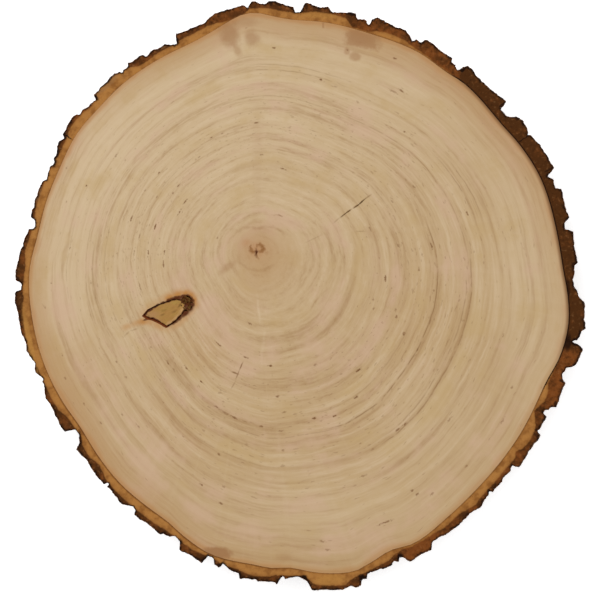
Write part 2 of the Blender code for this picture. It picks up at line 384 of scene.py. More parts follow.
# Rings that stand out: share of the way out, from and to in degrees, half width as a share, strength
ringArcs = (
    (0.067, 285, 320, 0.01, 0.5), (0.1, 70, 110, 0.009, 0.8), (0.127, 270, 345, 0.014, 0.5),
    (0.127, 100, 135, 0.014, 0.5), (0.165, 45, 60, 0.008, 0.5), (0.165, 225, 250, 0.008, 0.4),
    (0.24, 345, 375, 0.01, 0.4), (0.255, 300, 330, 0.01, 0.4), (0.26, 225, 240, 0.008, 0.4),
    (0.295, 265, 285, 0.01, 0.5), (0.32, 288, 360, 0.016, 0.8), (0.335, 45, 100, 0.007, 0.6),
    (0.385, 65, 110, 0.026, 0.7), (0.4, 10, 60, 0.008, 0.5), (0.4, 140, 190, 0.008, 0.5),
    (0.45, 270, 310, 0.013, 0.6), (0.475, 45, 80, 0.01, 0.6), (0.49, 15, 45, 0.007, 0.5),
    (0.49, 240, 270, 0.007, 0.5), (0.505, 15, 30, 0.006, 0.4), (0.505, 275, 295, 0.006, 0.4),
    (0.53, 280, 340, 0.007, 0.6), (0.545, 255, 275, 0.007, 0.4), (0.587, 290, 372, 0.008, 1),
    (0.61, 270, 290, 0.006, 0.4), (0.69, 228, 300, 0.015, 0.9),
    (0.68, 300, 360, 0.006, 0.6), (0.697, 300, 360, 0.008, 0.9), (0.69, 0, 30, 0.007, 0.6),
    (0.69, 30, 140, 0.007, 0.5), (0.725, 185, 210, 0.006, 0.4), (0.745, 4, 28, 0.006, 0.6),
    (0.77, 4, 28, 0.006, 0.6), (0.795, 60, 95, 0.006, 0.5), (0.815, 60, 95, 0.006, 0.5),
    (0.8, 160, 180, 0.006, 0.4), (0.83, 180, 210, 0.006, 0.4), (0.86, 28, 45, 0.006, 0.4),
    (0.86, 305, 320, 0.006, 0.4),
)
ringSectors = 24  # the face is read in this many directions, each with its own rings

# Brown dashes along the rings, in mm: X, Y, half length, strength
dashes = (
    (-116.7, 63.5, 0.6, 0.4), (-116.8, 46.9, 0.6, 0.4), (-115.1, 23.8, 0.6, 0.4), (-124.5, 6.3, 0.6, 0.4),
    (-104.6, 6.3, 0.6, 0.4), (-127.5, -5.7, 0.6, 0.4), (-74.4, -25.6, 0.6, 0.4), (-118.9, -29.9, 0.6, 0.4),
    (-91.7, -33, 0.6, 0.4), (-117.5, -41.1, 0.6, 0.4), (-99.8, -45.1, 0.6, 0.4), (-86.9, -40.9, 0.6, 0.4),
    (-67.8, 22.5, 1.4, 0.6), (-68.2, 15.6, 1.3, 0.6), (-75.9, 21.4, 2, 0.6), (-82.8, 22.3, 2.6, 0.4),
    (-57.4, 47, 1.9, 0.6), (-60.3, 41.8, 1.5, 0.6), (-72.5, 34.5, 1.6, 0.75), (-80.2, 4.4, 1.7, 0.4),
    (-41.5, -56, 2, 0.6), (-37.5, -58.6, 1.6, 0.4), (-33, -61, 1.8, 0.6), (-49.1, -43.4, 1.3, 0.75),
    (-65.9, -33.6, 1.2, 0.6), (-63, -37.2, 1.1, 0.4), (-57, -36.2, 1.3, 0.6), (-40.7, -24.5, 1.5, 0.6),
    (-25.2, -13.8, 1.2, 0.6), (-27.1, -31, 1, 0.6), (-14.9, -34.9, 1.1, 0.75), (7.6, -34.9, 1, 0.4),
    (-11.1, -50.6, 0.9, 0.6), (29.1, -37.2, 1.3, 0.75), (27.7, -51.1, 1.3, 0.75), (17.2, -59.8, 1.1, 0.75),
    (6.9, -61.4, 1.3, 0.75), (48.8, -67, 1.2, 0.6), (52.3, -64.3, 1.2, 0.6), (42.5, 8.4, 1.5, 0.75),
    (48.4, -10.6, 1, 0.6), (48.1, -7.2, 0.7, 0.4), (51.8, -19, 1.1, 0.6), (-41.3, 29, 0.8, 0.4),
    (35.1, 33.5, 1.1, 0.4), (-60.9, 54.7, 1, 0.6), (-63.5, 51.2, 0.8, 0.6), (-10, 39.9, 1.4, 0.4),
    (-19.2, -65.5, 1.3, 0.6), (-9.3, -67.4, 1, 0.4), (-7.9, -58.5, 1, 0.4), (83.7, 41.1, 1.2, 0.6),
    (65.8, 24.7, 1.6, 0.6), (67, 2.3, 0.8, 0.4), (36.5, -1.9, 0.8, 0.4), (36.8, -6.5, 0.8, 0.4),
    (49, 24.9, 0.9, 0.4), (59.2, 12.9, 0.8, 0.4), (61, 20.3, 0.8, 0.4), (101.7, -19.9, 1, 0.4),
    (105.9, -45.8, 1.2, 0.4), (101, -62.8, 1.5, 0.4), (74.9, -62, 1.2, 0.4), (56.9, 54.5, 0.8, 0.4),
    (46.2, 47.1, 0.9, 0.4), (58.3, -27, 1, 0.4), (10.4, 108, 0.6, 0.75), (-13, 123.9, 0.6, 0.6),
    (47.4, 118.6, 0.6, 0.6), (52, 81.9, 1.1, 0.6), (23.8, 122.9, 0.6, 0.6), (46.5, 102.2, 2.4, 0.4),
    (50.6, 102.6, 1.1, 0.6), (-106.8, 55.1, 0.6, 0.75), (-70.7, 61.4, 1, 0.6), (-84.2, 38.4, 1.2, 0.6),
    (-71.6, 49.6, 0.6, 0.4), (-77.4, 52.7, 0.8, 0.4), (-50.4, 69.2, 0.8, 0.4), (-44.2, 79, 0.8, 0.6),
    (-38.8, 81, 0.8, 0.4), (-21.8, 86.4, 1.2, 0.6), (-8.5, 63.4, 1.2, 0.6), (-19.3, 70.5, 1, 0.4),
    (-91.9, 70.1, 1.6, 0.4), (-80.3, 29.8, 1.3, 0.4), (-108, -53.9, 0.6, 0.4), (-99.7, -63.9, 0.6, 0.4),
    (-88.9, -59.3, 0.6, 0.4), (-81, -65.5, 1, 0.4), (-49.5, -94.5, 0.8, 0.6), (-39.6, -103.8, 0.7, 0.6),
    (-38.3, -95.5, 0.6, 0.4), (-40.4, -79.2, 0.8, 0.6), (-8.5, -77.5, 0.8, 0.4), (30.3, -74, 0.6, 0.4),
    (31.9, -90.2, 1.2, 0.4), (56, -97.4, 0.7, 0.6), (58.4, -99.3, 0.9, 0.6), (65.8, -99.1, 0.6, 0.4),
    (42.3, -113.4, 2.6, 0.6), (14.1, -127.3, 0.7, 0.4), (11.2, -122.9, 0.6, 0.4), (82.9, -85.3, 0.7, 0.4),
)
dashWidth = 0.0032  # half, as a share of the radius
dashStrength = 1.2  # on all of them
dashLengths = (0.4, 0.7, 1.2, 2, 3.2)  # half lengths, in degrees, that the dashes are rounded to

# Hairlines along the rings: share of the way out, from and to in degrees, strength
hairlines = (
    (0.587, 288, 372, 0.6), (0.592, 258, 300, 0.3), (0.68, 302, 356, 0.35), (0.697, 300, 362, 0.5),
    (0.69, -4, 60, 0.3), (0.745, 4, 30, 0.4), (0.77, 4, 28, 0.35), (0.795, 58, 96, 0.35),
    (0.815, 60, 95, 0.3), (0.1, 68, 112, 0.25), (0.49, 12, 46, 0.3), (0.684, 238, 276, 0.25),
    (0.53, 282, 338, 0.2),
    (0.54, 118, 152, 0.3), (0.69, 60, 112, 0.3), (0.84, 168, 200, 0.25), (0.76, 165, 206, 0.25),
    (0.73, 175, 216, 0.3), (0.677, 160, 215, 0.3),
)
hairlineWidth = 0.0018  # half, as a share of the radius

# Soft marks: middle, half size (mm), turn, strength, and how sharp the edge is (1 for a soft round spot)
stains = (
    ((-35.3, 131), (6.2, 8.2), 12, 0.66, 1.3), ((-31.6, 122.4), (2.4, 4), 20, 0.45, 1.2),
    ((-23.6, 128.8), (4.6, 5.2), 0, 0.55, 1.2), ((-27, 136.6), (8.5, 2.8), 4, 0.4, 1.2),
    ((31.4, 127.8), (9.8, 4.6), -14, 0.7, 2.1), ((30.4, 128.6), (7.4, 3.4), -14, 0.45, 1.4),
    ((27.4, 119.6), (3.2, 2.8), -8, 0.55, 1.6), ((23.6, 122.4), (1.8, 2.4), 0, 0.45, 1.6),
    ((-41, -128.6), (8.4, 3.6), -4, 0.95, 2), ((-8, -131), (5, 3), 0, 0.3, 1),
    ((11.4, 135.2), (0.8, 1.9), 0, 0.6, 3), ((-36.2, 13.6), (6.4, 2.4), 35, 0.4, 1),
    ((-21.5, 66), (3.4, 36), 0, 0.1, 1), ((36, 31), (5, 3), -30, 0.25, 1),
)

# Wide differences in tone: middle, half size (mm), turn, strength, colour
tones = (
    ((84, -76), (62, 30), 50, 0.3, "paleSide"), ((-112, -33), (34, 14), 118, 0.27, "rim"),
    ((-62, -66), (30, 12), -38, 0.15, "rim"), ((-104, 66), (56, 27), 58, 0.38, "ray"),
    ((-119, -4), (15, 40), 0, 0.32, "ray"), ((119, 38), (15, 42), 22, 0.28, "ray"),
    ((-46, -2), (6, 5), 0, 0.5, "pink"), ((-73.5, -23), (11, 5), 0, 0.45, "pink"),
    ((-20.8, -7), (0.9, 9), 4, 0.45, "ray"), ((-18.5, -26), (0.9, 12), -4, 0.25, "ray"),
    ((60, -8), (26, 34), 0, 0.12, "rim"), ((-50, -26), (22, 17), 0, 0.26, "rim"),
    ((-29, -4), (15, 13), 0, 0.16, "rim"), ((-66, 8), (16, 10), 0, 0.14, "rim"),
    ((116, 8), (24, 84), 4, 0.8, "paleSide"), ((10, -106), (70, 28), 0, 0.5, "paleSide"),
    ((62, -60), (28, 40), -35, 0.45, "paleSide"),
)

# How strongly the rim is browned, by direction from the pith
rimTone = (
    (0, 0.5), (30, 0.9), (60, 1), (105, 1), (130, 0.6), (160, 0.35), (190, 0.8), (220, 1), (240, 0.75),
    (270, 0.4), (300, 0.12), (330, 0.15),
)
# The same for the last millimetre, warm nearly all round and dark beside the dark bark
edgeTone = (
    (0, 0.5), (45, 0.5), (60, 0.6), (115, 0.6), (180, 0.6), (200, 0.5), (240, 0.6), (300, 0.45), (335, 0.35),
)
darkEdgeTone = ((0, 0.8), (36, 0.7), (46, 0), (60, 0), (180, 0), (330, 0), (342, 0.5), (350, 0.8))


def ringProfile(direction):
    # (share of the way out, darkness) points for the rings that cross this direction
    half = 180 / ringSectors
    near = [arc for arc in ringArcs if (direction - arc[1] + half) % 360 <= arc[2] - arc[1] + 2 * half]

    def darkness(share):
        total = 0
        for middle, start, end, width, strength in near:
            inside = min((direction - start + half) % 360, (end - direction + half) % 360) / (2 * half)
            total += max(0, 1 - abs(share - middle) / width) * strength * min(1, inside)
        return min(1, total)

    steps = sorted({round(arc[0] + side * arc[3], 4) for arc in near for side in (-1, 0, 1)})
    return [(step, darkness(step)) for step in steps]


def ringDarkness(tree, share, turn):
    # adds up each direction's own ring profile, faded into its neighbours
    total = 0.0
    for sector in range(ringSectors):
        direction = sector * 360 / ringSectors
        profile = addNode(tree, "ShaderNodeFloatCurve", {"Value": share})
        curve = profile.mapping.curves[0]
        curve.points[0].location = (0, 0)
        curve.points[1].location = (1, 0)
        for place, value in ringProfile(direction):
            curve.points.new(place, value)
        for point in curve.points:
            point.handle_type = "VECTOR"
        profile.mapping.update()
        away = calc(tree, "SUBTRACT", turn, sector)
        away = calc(tree, "WRAP", away, ringSectors / 2, -ringSectors / 2)
        nearness = calc(tree, "SUBTRACT", 1, calc(tree, "ABSOLUTE", away), clamp=True)
        total = calc(tree, "MULTIPLY_ADD", profile.outputs[0], nearness, total)
    return total


def dashMask(tree, share, turn, patchy):
    # how strong the dash here is, 0 off the dashes; those of one length and strength share their nodes
    groups = {}
    for x, y, half, strength in dashes:
        away = Vector((x, y)) * mm - pith
        degrees = math.degrees(math.atan2(away.y, away.x))
        exact = math.degrees(half * mm / away.length)
        rounded = min(dashLengths, key=lambda length: abs(math.log(length / exact)))
        centre = (float(ringShare(degrees, away.length)) / dashWidth, degrees / rounded, 0)
        groups.setdefault((rounded, strength), []).append(centre)
    total = 0.0
    for (length, strength), centres in groups.items():
        parts = {0: calc(tree, "DIVIDE", share, dashWidth), 1: calc(tree, "DIVIDE", turn, length)}
        place = addNode(tree, "ShaderNodeCombineXYZ", parts).outputs[0]
        nearest = 99.0
        for centre in centres:
            distance = vectorCalc(tree, "DISTANCE", place, centre, result="Value")
            nearest = calc(tree, "MINIMUM", nearest, distance)
        mark = fade(tree, calc(tree, "ADD", nearest, patchy), 1.5, 0.2, strength * dashStrength)
        total = calc(tree, "MAXIMUM", total, mark)
    return total


def byDirection(tree, turn, table):
    # the value that a table of (degrees, value) rows has in this direction
    roundTurn = calc(tree, "WRAP", calc(tree, "DIVIDE", turn, 360), 1, 0)
    node = addNode(tree, "ShaderNodeFloatCurve", {"Value": roundTurn})
    curve = node.mapping.curves[0]
    curve.points[0].location = (0, around(table, 0))
    curve.points[1].location = (1, around(table, 360))
    for degrees, value in table:
        if 0 < degrees < 360:
            curve.points.new(degrees / 360, value)
    for point in curve.points:
        point.handle_type = "AUTO"
    node.mapping.update()
    return node.outputs[0]


def along(tree, share, unit, reach):
    # a place that runs across the rings in X, and along them in Y and Z, less quickly
    slowed = vectorCalc(tree, "MULTIPLY", unit, (reach,) * 3)
    parts = addNode(tree, "ShaderNodeSeparateXYZ", {0: slowed}).outputs
    inputs = {0: calc(tree, "MULTIPLY", share, 30), 1: parts[0], 2: parts[1]}
    return addNode(tree, "ShaderNodeCombineXYZ", inputs).outputs[0]


def hairlineMask(tree, share, turn):
    # 1 on a hairline, fading out towards its two ends
    total = 0.0
    for middle, start, end, strength in hairlines:
        off = calc(tree, "ABSOLUTE", calc(tree, "SUBTRACT", share, middle))
        line = fade(tree, off, 1.6 * hairlineWidth, 0.4 * hairlineWidth, strength)
        away = calc(tree, "WRAP", calc(tree, "SUBTRACT", turn, (start + end) / 2), 180, -180)
        half = (end - start) / 2
        ends = fade(tree, calc(tree, "ABSOLUTE", away), half, half - 9)
        total = calc(tree, "MULTIPLY_ADD", line, ends, total)
    return total


def clouded(tree, places, wavy):
    # the bare wood's tone across the face, with painted light: paler to the upper left and painted shade to
    # the lower right
    look = woodLook
    # painted light and shade: a slope rising from the lower right to the upper left
    paintedLightSlope = vectorCalc(tree, "DOT_PRODUCT", places, (-0.57, 0.82, 0), result="Value")
    cloud = calc(tree, "MULTIPLY_ADD", noiseOf(tree, places, 22, 3), 0.06, paintedLightSlope)
    colour = mixColours(tree, fade(tree, cloud, -0.1, 0.17), look["shadySide"], look["paleSide"])
    for middle, halfSize, slant, strength, name in tones:
        tone = fade(tree, patch(tree, wavy, middle, halfSize, slant), 1.2, 0.2, strength)
        colour = mixColours(tree, tone, colour, look[name])
    return colour


def addSoftRings(tree, places, share, plainShare, unit, colour):
    # rings everywhere, broad, middling and fine; pink and olive patches; rays across them
    look = woodLook
    broad = noiseOf(tree, along(tree, share, unit, 0.9), 0.6, 2)
    middling = noiseOf(tree, along(tree, share, unit, 0.75), 1.7, 2, 0.55)
    fine = noiseOf(tree, along(tree, share, unit, 2), 4.8, 3, 0.65)
    ringTone = calc(tree, "MULTIPLY_ADD", middling, 0.5, calc(tree, "MULTIPLY", broad, 0.2))
    ringTone = calc(tree, "MULTIPLY_ADD", fine, 0.3, ringTone)
    busy = calc(tree, "ADD", fade(tree, plainShare, 0.9, 0.7, 0.25), fade(tree, plainShare, 0.1, 0.3, 0.3))
    busy = calc(tree, "ADD", busy, 0.45)  # the rings are calmer at the heart and the rim
    darker = fade(tree, ringTone, 0.49, 0.66, calc(tree, "MULTIPLY", busy, look["darkRings"]))
    paler = fade(tree, ringTone, 0.51, 0.36, calc(tree, "MULTIPLY", busy, look["paleRings"]))
    colour = mixColours(tree, darker, colour, look["ringLine"])
    colour = mixColours(tree, paler, colour, look["ray"])
    mottle = noiseOf(tree, places, 45, 4, 0.62)
    mottle = calc(tree, "MULTIPLY_ADD", mottle, 0.6, calc(tree, "MULTIPLY", broad, 0.4))
    colour = mixColours(tree, fade(tree, mottle, 0.5, 0.66, look["mottle"]), colour, look["pink"])
    colour = mixColours(tree, fade(tree, mottle, 0.5, 0.34, look["mottle"]), colour, look["olive"])
    rayPlace = addNode(tree, "ShaderNodeCombineXYZ", {2: calc(tree, "MULTIPLY", share, 1.4)}).outputs[0]
    rayPlace = vectorCalc(tree, "MULTIPLY_ADD", unit, (38, 38, 0), rayPlace)
    rays = noiseOf(tree, rayPlace, 1, 2, 0.6)
    colour = mixColours(tree, fade(tree, rays, 0.5, 0.75, look["rays"]), colour, look["ray"])
    return colour, ringTone


def addStrongRings(tree, places, share, turn, colour):
    # the rings and hairlines that stand out
    look = woodLook
    strong = ringDarkness(tree, share, calc(tree, "DIVIDE", turn, 360 / ringSectors))
    broken = calc(tree, "MULTIPLY", strong, fade(tree, noiseOf(tree, places, 160, 2), 0.3, 0.6))
    strong = calc(tree, "MULTIPLY_ADD", strong, 0.4, calc(tree, "MULTIPLY", broken, 0.6))
    mark = calc(tree, "MULTIPLY", strong, look["ringStrength"])
    colour = mixColours(tree, mark, colour, look["ringLine"])
    gaps = fade(tree, noiseOf(tree, places, 240, 2), 0.3, 0.55)
    thin = calc(tree, "MULTIPLY", hairlineMask(tree, share, turn), gaps)
    colour = mixColours(tree, calc(tree, "MULTIPLY", thin, 0.8), colour, look["hairline"])
    return colour, strong


def addHeartAndRim(tree, places, plainShare, turn, colour):
    # darker wood at the heart, in the last rings and on the last millimetre
    look = woodLook
    colour = mixColours(tree, fade(tree, plainShare, 0.19, 0.04, 0.58), colour, look["heart"])
    shake = calc(tree, "SUBTRACT", noiseOf(tree, places, 90, 2), 0.5)
    rimFade = calc(tree, "MULTIPLY_ADD", shake, 0.03, plainShare)
    bands = (
        (fade(tree, rimFade, 0.88, 0.98, 0.5), rimTone, "rim"),
        (fade(tree, rimFade, 0.975, 0.998), edgeTone, "edge"),
        (fade(tree, plainShare, 0.986, 1), darkEdgeTone, "edgeDark"),
    )
    for band, table, name in bands:
        mark = calc(tree, "MULTIPLY", band, byDirection(tree, turn, table))
        colour = mixColours(tree, mark, colour, look[name])
    return colour


def addVessels(tree, share, plainShare, unit, colour):
    # short vessels everywhere, thickest half way out
    vessels = vectorCalc(tree, "MULTIPLY", along(tree, share, unit, 14), (2.6, 1, 1))
    belt = calc(tree, "MULTIPLY", fade(tree, plainShare, 0.2, 0.5), fade(tree, plainShare, 1, 0.6))
    level = calc(tree, "MULTIPLY_ADD", belt, 0.07, noiseOf(tree, vessels, 2.1, 1))
    return mixColours(tree, fade(tree, level, 0.72, 0.81, 0.3), colour, woodLook["fleck"])


def addStains(tree, places, wavy, ringTone, colour):
    ragged = calc(tree, "MULTIPLY_ADD", ringTone, 0.6, noiseOf(tree, places, 330, 3, 0.6))
    ragged = calc(tree, "SUBTRACT", ragged, 0.3)
    for middle, halfSize, slant, strength, sharpness in stains:
        spot = patch(tree, wavy, middle, halfSize, slant, square=sharpness > 2)
        spot = calc(tree, "MULTIPLY_ADD", ragged, 0.7, spot)
        mark = fade(tree, spot, 1.25 + 0.35 / sharpness, 1.25 - 0.7 / sharpness, strength)
        colour = mixColours(tree, mark, colour, woodLook["stain"])
    return colour


def makeWoodMaterial():
    look = woodLook
    material, tree, shader = newMaterial("sanded_wood", look["roughness"], look["specular"])
    places = addNode(tree, "ShaderNodeTexCoord").outputs["Object"]
    rings = addNode(tree, "ShaderNodeUVMap", uv_map="rings").outputs[0]
    parts = addNode(tree, "ShaderNodeSeparateXYZ", {0: rings}).outputs
    wavy = shaken(tree, places, 60, 3)
    plainShare = vectorCalc(tree, "LENGTH", rings, result="Value")
    wobble = calc(tree, "SUBTRACT", noiseOf(tree, rings, 9, 3, 0.6), 0.5)
    share = calc(tree, "MULTIPLY_ADD", wobble, 0.012, plainShare)
    turn = calc(tree, "MULTIPLY", calc(tree, "ARCTAN2", parts[1], parts[0]), 180 / math.pi)
    unit = vectorCalc(tree, "NORMALIZE", rings)

    colour = clouded(tree, places, wavy)
    colour, ringTone = addSoftRings(tree, places, share, plainShare, unit, colour)
    colour, strong = addStrongRings(tree, places, share, turn, colour)
    colour = addHeartAndRim(tree, places, plainShare, turn, colour)
    colour = addVessels(tree, share, plainShare, unit, colour)
    colour = addStains(tree, places, wavy, ringTone, colour)
    patchy = calc(tree, "MULTIPLY_ADD", noiseOf(tree, places, 1100, 1), 2.6, -1.3)
    colour = mixColours(tree, dashMask(tree, share, turn, patchy), colour, look["fleck"])
    colour = addPithMarks(tree, places, colour)
    colour = addStrokes(tree, shaken(tree, places, 1200, 0.3), colour, splitMarks, look, 1.5, 0.3)
    ragged = shaken(tree, places, 700, 1.1)
    colour = addStrokes(tree, ragged, colour, knotHalo, look, 1.3, 0.05)
    colour = addStrokes(tree, ragged, colour, knotScorch, look, 1.3, 0.35)
    tree.links.new(colour, shader.inputs["Base Color"])

    grain = noiseOf(tree, places, 1800, 3, 0.7)
    relief = calc(tree, "MULTIPLY_ADD", strong, -0.6, calc(tree, "MULTIPLY_ADD", grain, 0.5, ringTone))
    bumpBy(tree, shader, relief, 0.25, 0.12 * mm)
    return material


# The pith, as strokes: a slit, two broken curls, and pieces of the first rings
pithMarks = (
    (((-24.6, 25.3), (-24.7, 23.6)), 0.5, 0.7, "curl"),
    (((-24.9, 23.7), (-24.4, 22.4), (-23.6, 21.8)), 1.1, 0.75, "curl"),
    (((-23.6, 21.9), (-22.5, 22.3)), 0.6, 0.6, "curl"),
    (((-21.9, 24.4), (-21.5, 25.2), (-20.3, 25.7)), 0.5, 0.6, "curl"),
    (((-20.6, 25.5), (-19.1, 25)), 1, 0.7, "curl"),
    (((-18.9, 24.9), (-18.3, 23.6), (-18.5, 22.7)), 1.1, 0.85, "curl"),
    (((-18.6, 22.4), (-19.6, 21.8), (-20.4, 21.9)), 0.7, 0.75, "curl"),
    (((-17.4, 21.6), (-16.4, 21.1)), 1, 0.25, "curl"),
    (((-21.75, 23), (-21.8, 19.8)), 0.75, 1, "scorch"), (((-21.7, 20.2), (-20.9, 18.4)), 0.6, 0.4, "curl"),
    (((-32, 31.6), (-28.5, 33.8), (-24.6, 34.2), (-21.8, 33.5), (-17, 34.5), (-12.5, 34), (-7.5, 31)),
     0.8, 0.22, "curl"),
    (((-30, 16.5), (-25, 13), (-19, 12.2), (-13.5, 15)), 0.8, 0.2, "curl"),
    (((-13.4, 40.4), (-9, 39.8)), 0.4, 0.3, "curl"),
)
# Blushes round it: middle, half size (mm), turn, strength
pithBlushes = (
    ((-21.5, 22.8), (8.5, 7.5), 0, 0.28), ((-21.5, 23), (4.6, 3.8), 0, 0.5),
    ((-27, 26.4), (3, 2.4), 30, 0.35),
)


def addPithMarks(tree, places, colour):
    ragged = shaken(tree, places, 800, 2)
    for middle, halfSize, slant, strength in pithBlushes:
        halo = patch(tree, ragged, middle, halfSize, slant)
        colour = mixColours(tree, fade(tree, halo, 1.3, 0, strength), colour, woodLook["blush"])
    return addStrokes(tree, ragged, colour, pithMarks, woodLook, 1.6, 0.1)


# Brown edges of the cracks in the face, as strokes
splitMarks = (
    (((3, 26.5), (10.5, 30.2)), 0.35, 0.22, "hairline"),
    (((17, 36.4), (19.6, 38.8)), 0.4, 0.3, "hairline"),
    (((20.2, 38.9), (23.4, 41.6)), 0.42, 0.6, "hairline"),
    (((23.2, 41.3), (25.5, 43)), 0.45, 0.85, "hairline"),
    (((26.7, 43.8), (29.6, 45.6), (32, 48)), 0.45, 0.85, "hairline"),
    (((32, 48), (35.5, 50.4)), 0.4, 0.5, "hairline"),
    (((-28.6, -33.4), (-30.2, -37)), 0.34, 0.75, "hairline"),
    (((-30.4, -37.6), (-32, -41.5)), 0.34, 0.6, "hairline"),
    (((-32.3, -43), (-34.4, -46.6)), 0.35, 0.35, "hairline"),
    (((-34, -38.2), (-31.2, -39.2)), 0.45, 0.75, "hairline"),
    (((34.6, 49.4), (32.5, 51.4)), 0.3, 0.25, "hairline"),
    (((28, 32.2), (32.6, 32)), 0.3, 0.3, "hairline"),
)
# The seam round the knot, in mm
knotSeam = (
    (-78.1, -10.3), (-76.2, -8.1), (-73.6, -6.3), (-70, -4.2), (-67.2, -3.2), (-64.2, -2.1), (-61.8, -1.7),
    (-59.4, -2.3), (-57.4, -4.3), (-57.2, -6.2), (-59.2, -9.6), (-61.6, -12.2), (-65, -14.8), (-67, -15.7),
    (-69.6, -13.7), (-72.4, -12), (-74.8, -11.4), (-76.6, -11.2), (-78.1, -10.3),
)
# Strokes on the wood round it: an orange halo and a streak off its left tip, and then scorched edges
knotHalo = (
    (knotSeam, 4.2, 0.45, "knotGlow"),
    (((-68, -1.6), (-63.5, 0.6), (-58, 1.7), (-54.3, 0.9), (-52, -2.6), (-52.6, -6)), 2.8, 0.65, "knotGlow"),
    (((-67, -2), (-63.4, -0.2), (-59, 1.1), (-55.6, 1.3), (-53.4, -0.6), (-52.6, -4)),
     1.7, 0.85, "knotOrange"),
    (((-53.4, -6.6), (-56, -10), (-59.5, -13.4), (-63, -15.6)), 2.2, 0.5, "knotGlow"),
    (((-69, -16.4), (-73.5, -13.8), (-77.4, -13.1)), 2.1, 0.6, "knotGlow"),
    (((-77, -12.9), (-80.4, -13.4)), 1.9, 0.8, "knotOrange"),
    (((-79.5, -13), (-84, -14.6), (-89, -16.6)), 1.9, 0.6, "knotGlow"),
    (((-81, -16.6), (-85, -17.7), (-88, -20.5)), 0.4, 0.35, "hairline"),
)
knotScorch = (
    (((-66.6, -3), (-62.6, -1.5), (-58.6, -0.9), (-56, -0.9)), 1.3, 0.9, "scorch"),
    (((-53.9, -5.6), (-55.8, -7.6), (-58, -9.4)), 1.7, 0.95, "scorch"),
    (((-57, -8.4), (-59.4, -10.8), (-61, -12.2)), 1.2, 0.9, "scorch"),
    (((-60.6, -12), (-63.4, -14.2)), 0.8, 0.8, "scorch"),
    (((-78.4, -12.5), (-75.6, -11.5), (-73.4, -12.2), (-71, -13.4)), 0.6, 0.85, "scorch"),
    (((-63.6, -1.5), (-60, -0.6), (-57, 0.2), (-54.4, -0.7), (-53.1, -3.4), (-53.9, -5.6)),
     0.9, 0.95, "scorch"),
    (knotSeam, 0.75, 0.95, "scorch"),
)


cutLook = {
    "light": screen(126, 62, 20),
    "dark": screen(98, 44, 12),
    "deep": screen(112, 50, 14),
    "deepFrom": 1.2 * mm,  # below the face
    "roughness": 0.85,
    "specular": 0.15,
}


def makeCutMaterial():
    # walls of the cracks and of the knot's pocket, streaked near the face and plain brown deep down
    look = cutLook
    material, tree, shader = newMaterial("dark_split", look["roughness"], look["specular"])
    places = addNode(tree, "ShaderNodeTexCoord").outputs["Object"]
    height = addNode(tree, "ShaderNodeSeparateXYZ", {0: places}).outputs[2]
    deep = fade(tree, height, topHeight, topHeight - look["deepFrom"])
    grain = noiseOf(tree, stretched(tree, places, (1, 1, 0.2)), 1500, 2)
    brown = mixColours(tree, grain, look["light"], look["dark"])
    tree.links.new(mixColours(tree, deep, brown, look["deep"]), shader.inputs["Base Color"])
    return material


# Wood piece

woodPiece = {
    "loops": 60,  # rings of faces from the rim to the pith
    "innermost": 0.012,  # size of the last one
    "pocketSeam": 0.4 * mm,  # open round the knot
}

# Cracks in the top face: start, end, width and depth in mm
splits = (
    ((19.8, 38.9), (25.8, 43.2), 0.22, 4), ((26.4, 43.1), (33.4, 48.9), 0.26, 5),
    ((29.4, 45.5), (31.8, 47.6), 0.42, 3), ((-21.8, 22.6), (-22, 19.9), 0.6, 0.35),
)
hollow = {"middle": (-56.7, -3.9), "halfSize": (3.1, 4), "depth": 4.5}  # beside the knot, in mm


def isTopRim(edge):
    # an edge of the CAD disc's top outline: it has one flat face and one upright face
    upright = [abs(face.normal.z) < 0.5 for face in edge.link_faces]
    high = all(point.co.z > topHeight - 0.1 * mm and point.co.xy.length > rimStart for point in edge.verts)
    return high and any(upright) and not all(upright)


def layDisc(piece):
    # keeps the CAD disc's top outline, and fills it with loops of faces that close in on the pith
    bpy.ops.object.mode_set(mode="EDIT")
    choose(piece, "EDGE", isTopRim)
    bpy.ops.mesh.duplicate()
    bpy.ops.mesh.select_all(action="INVERT")
    bpy.ops.mesh.delete(type="VERT")
    bpy.ops.mesh.select_all(action="SELECT")
    bpy.ops.mesh.subdivide(number_cuts=1)
    sizes = np.linspace(1, woodPiece["innermost"], woodPiece["loops"])
    for before, after in zip(sizes, sizes[1:]):
        bpy.ops.mesh.extrude_edges_move()
        closer = float(after / before)
        bpy.ops.transform.resize(value=(closer, closer, 1), center_override=(*pith, topHeight))
    bpy.ops.mesh.merge(type="CENTER")
    bpy.ops.mesh.select_all(action="SELECT")
    bpy.ops.mesh.normals_make_consistent(inside=False)
    mesh = bmesh.from_edit_mesh(piece.data)
    if next(iter(mesh.faces)).normal.z < 0:
        bpy.ops.mesh.flip_normals()
    bpy.ops.object.mode_set(mode="OBJECT")


def writeRingMap(piece):
    # a map whose circles are the growth rings and whose middle is the pith
    while piece.data.uv_layers:
        piece.data.uv_layers.remove(piece.data.uv_layers[0])
    layer = piece.data.uv_layers.new(name="rings")
    away = pointsOf(piece)[:, :2] - np.array(pith)
    turns = np.arctan2(away[:, 1], away[:, 0])
    ring = ringShare(np.degrees(turns), np.hypot(away[:, 0], away[:, 1]))
    places = np.column_stack((ring * np.cos(turns), ring * np.sin(turns)))
    corners = np.zeros(len(piece.data.loops), dtype=int)
    piece.data.loops.foreach_get("vertex_index", corners)
    layer.data.foreach_set("uv", places[corners].ravel())


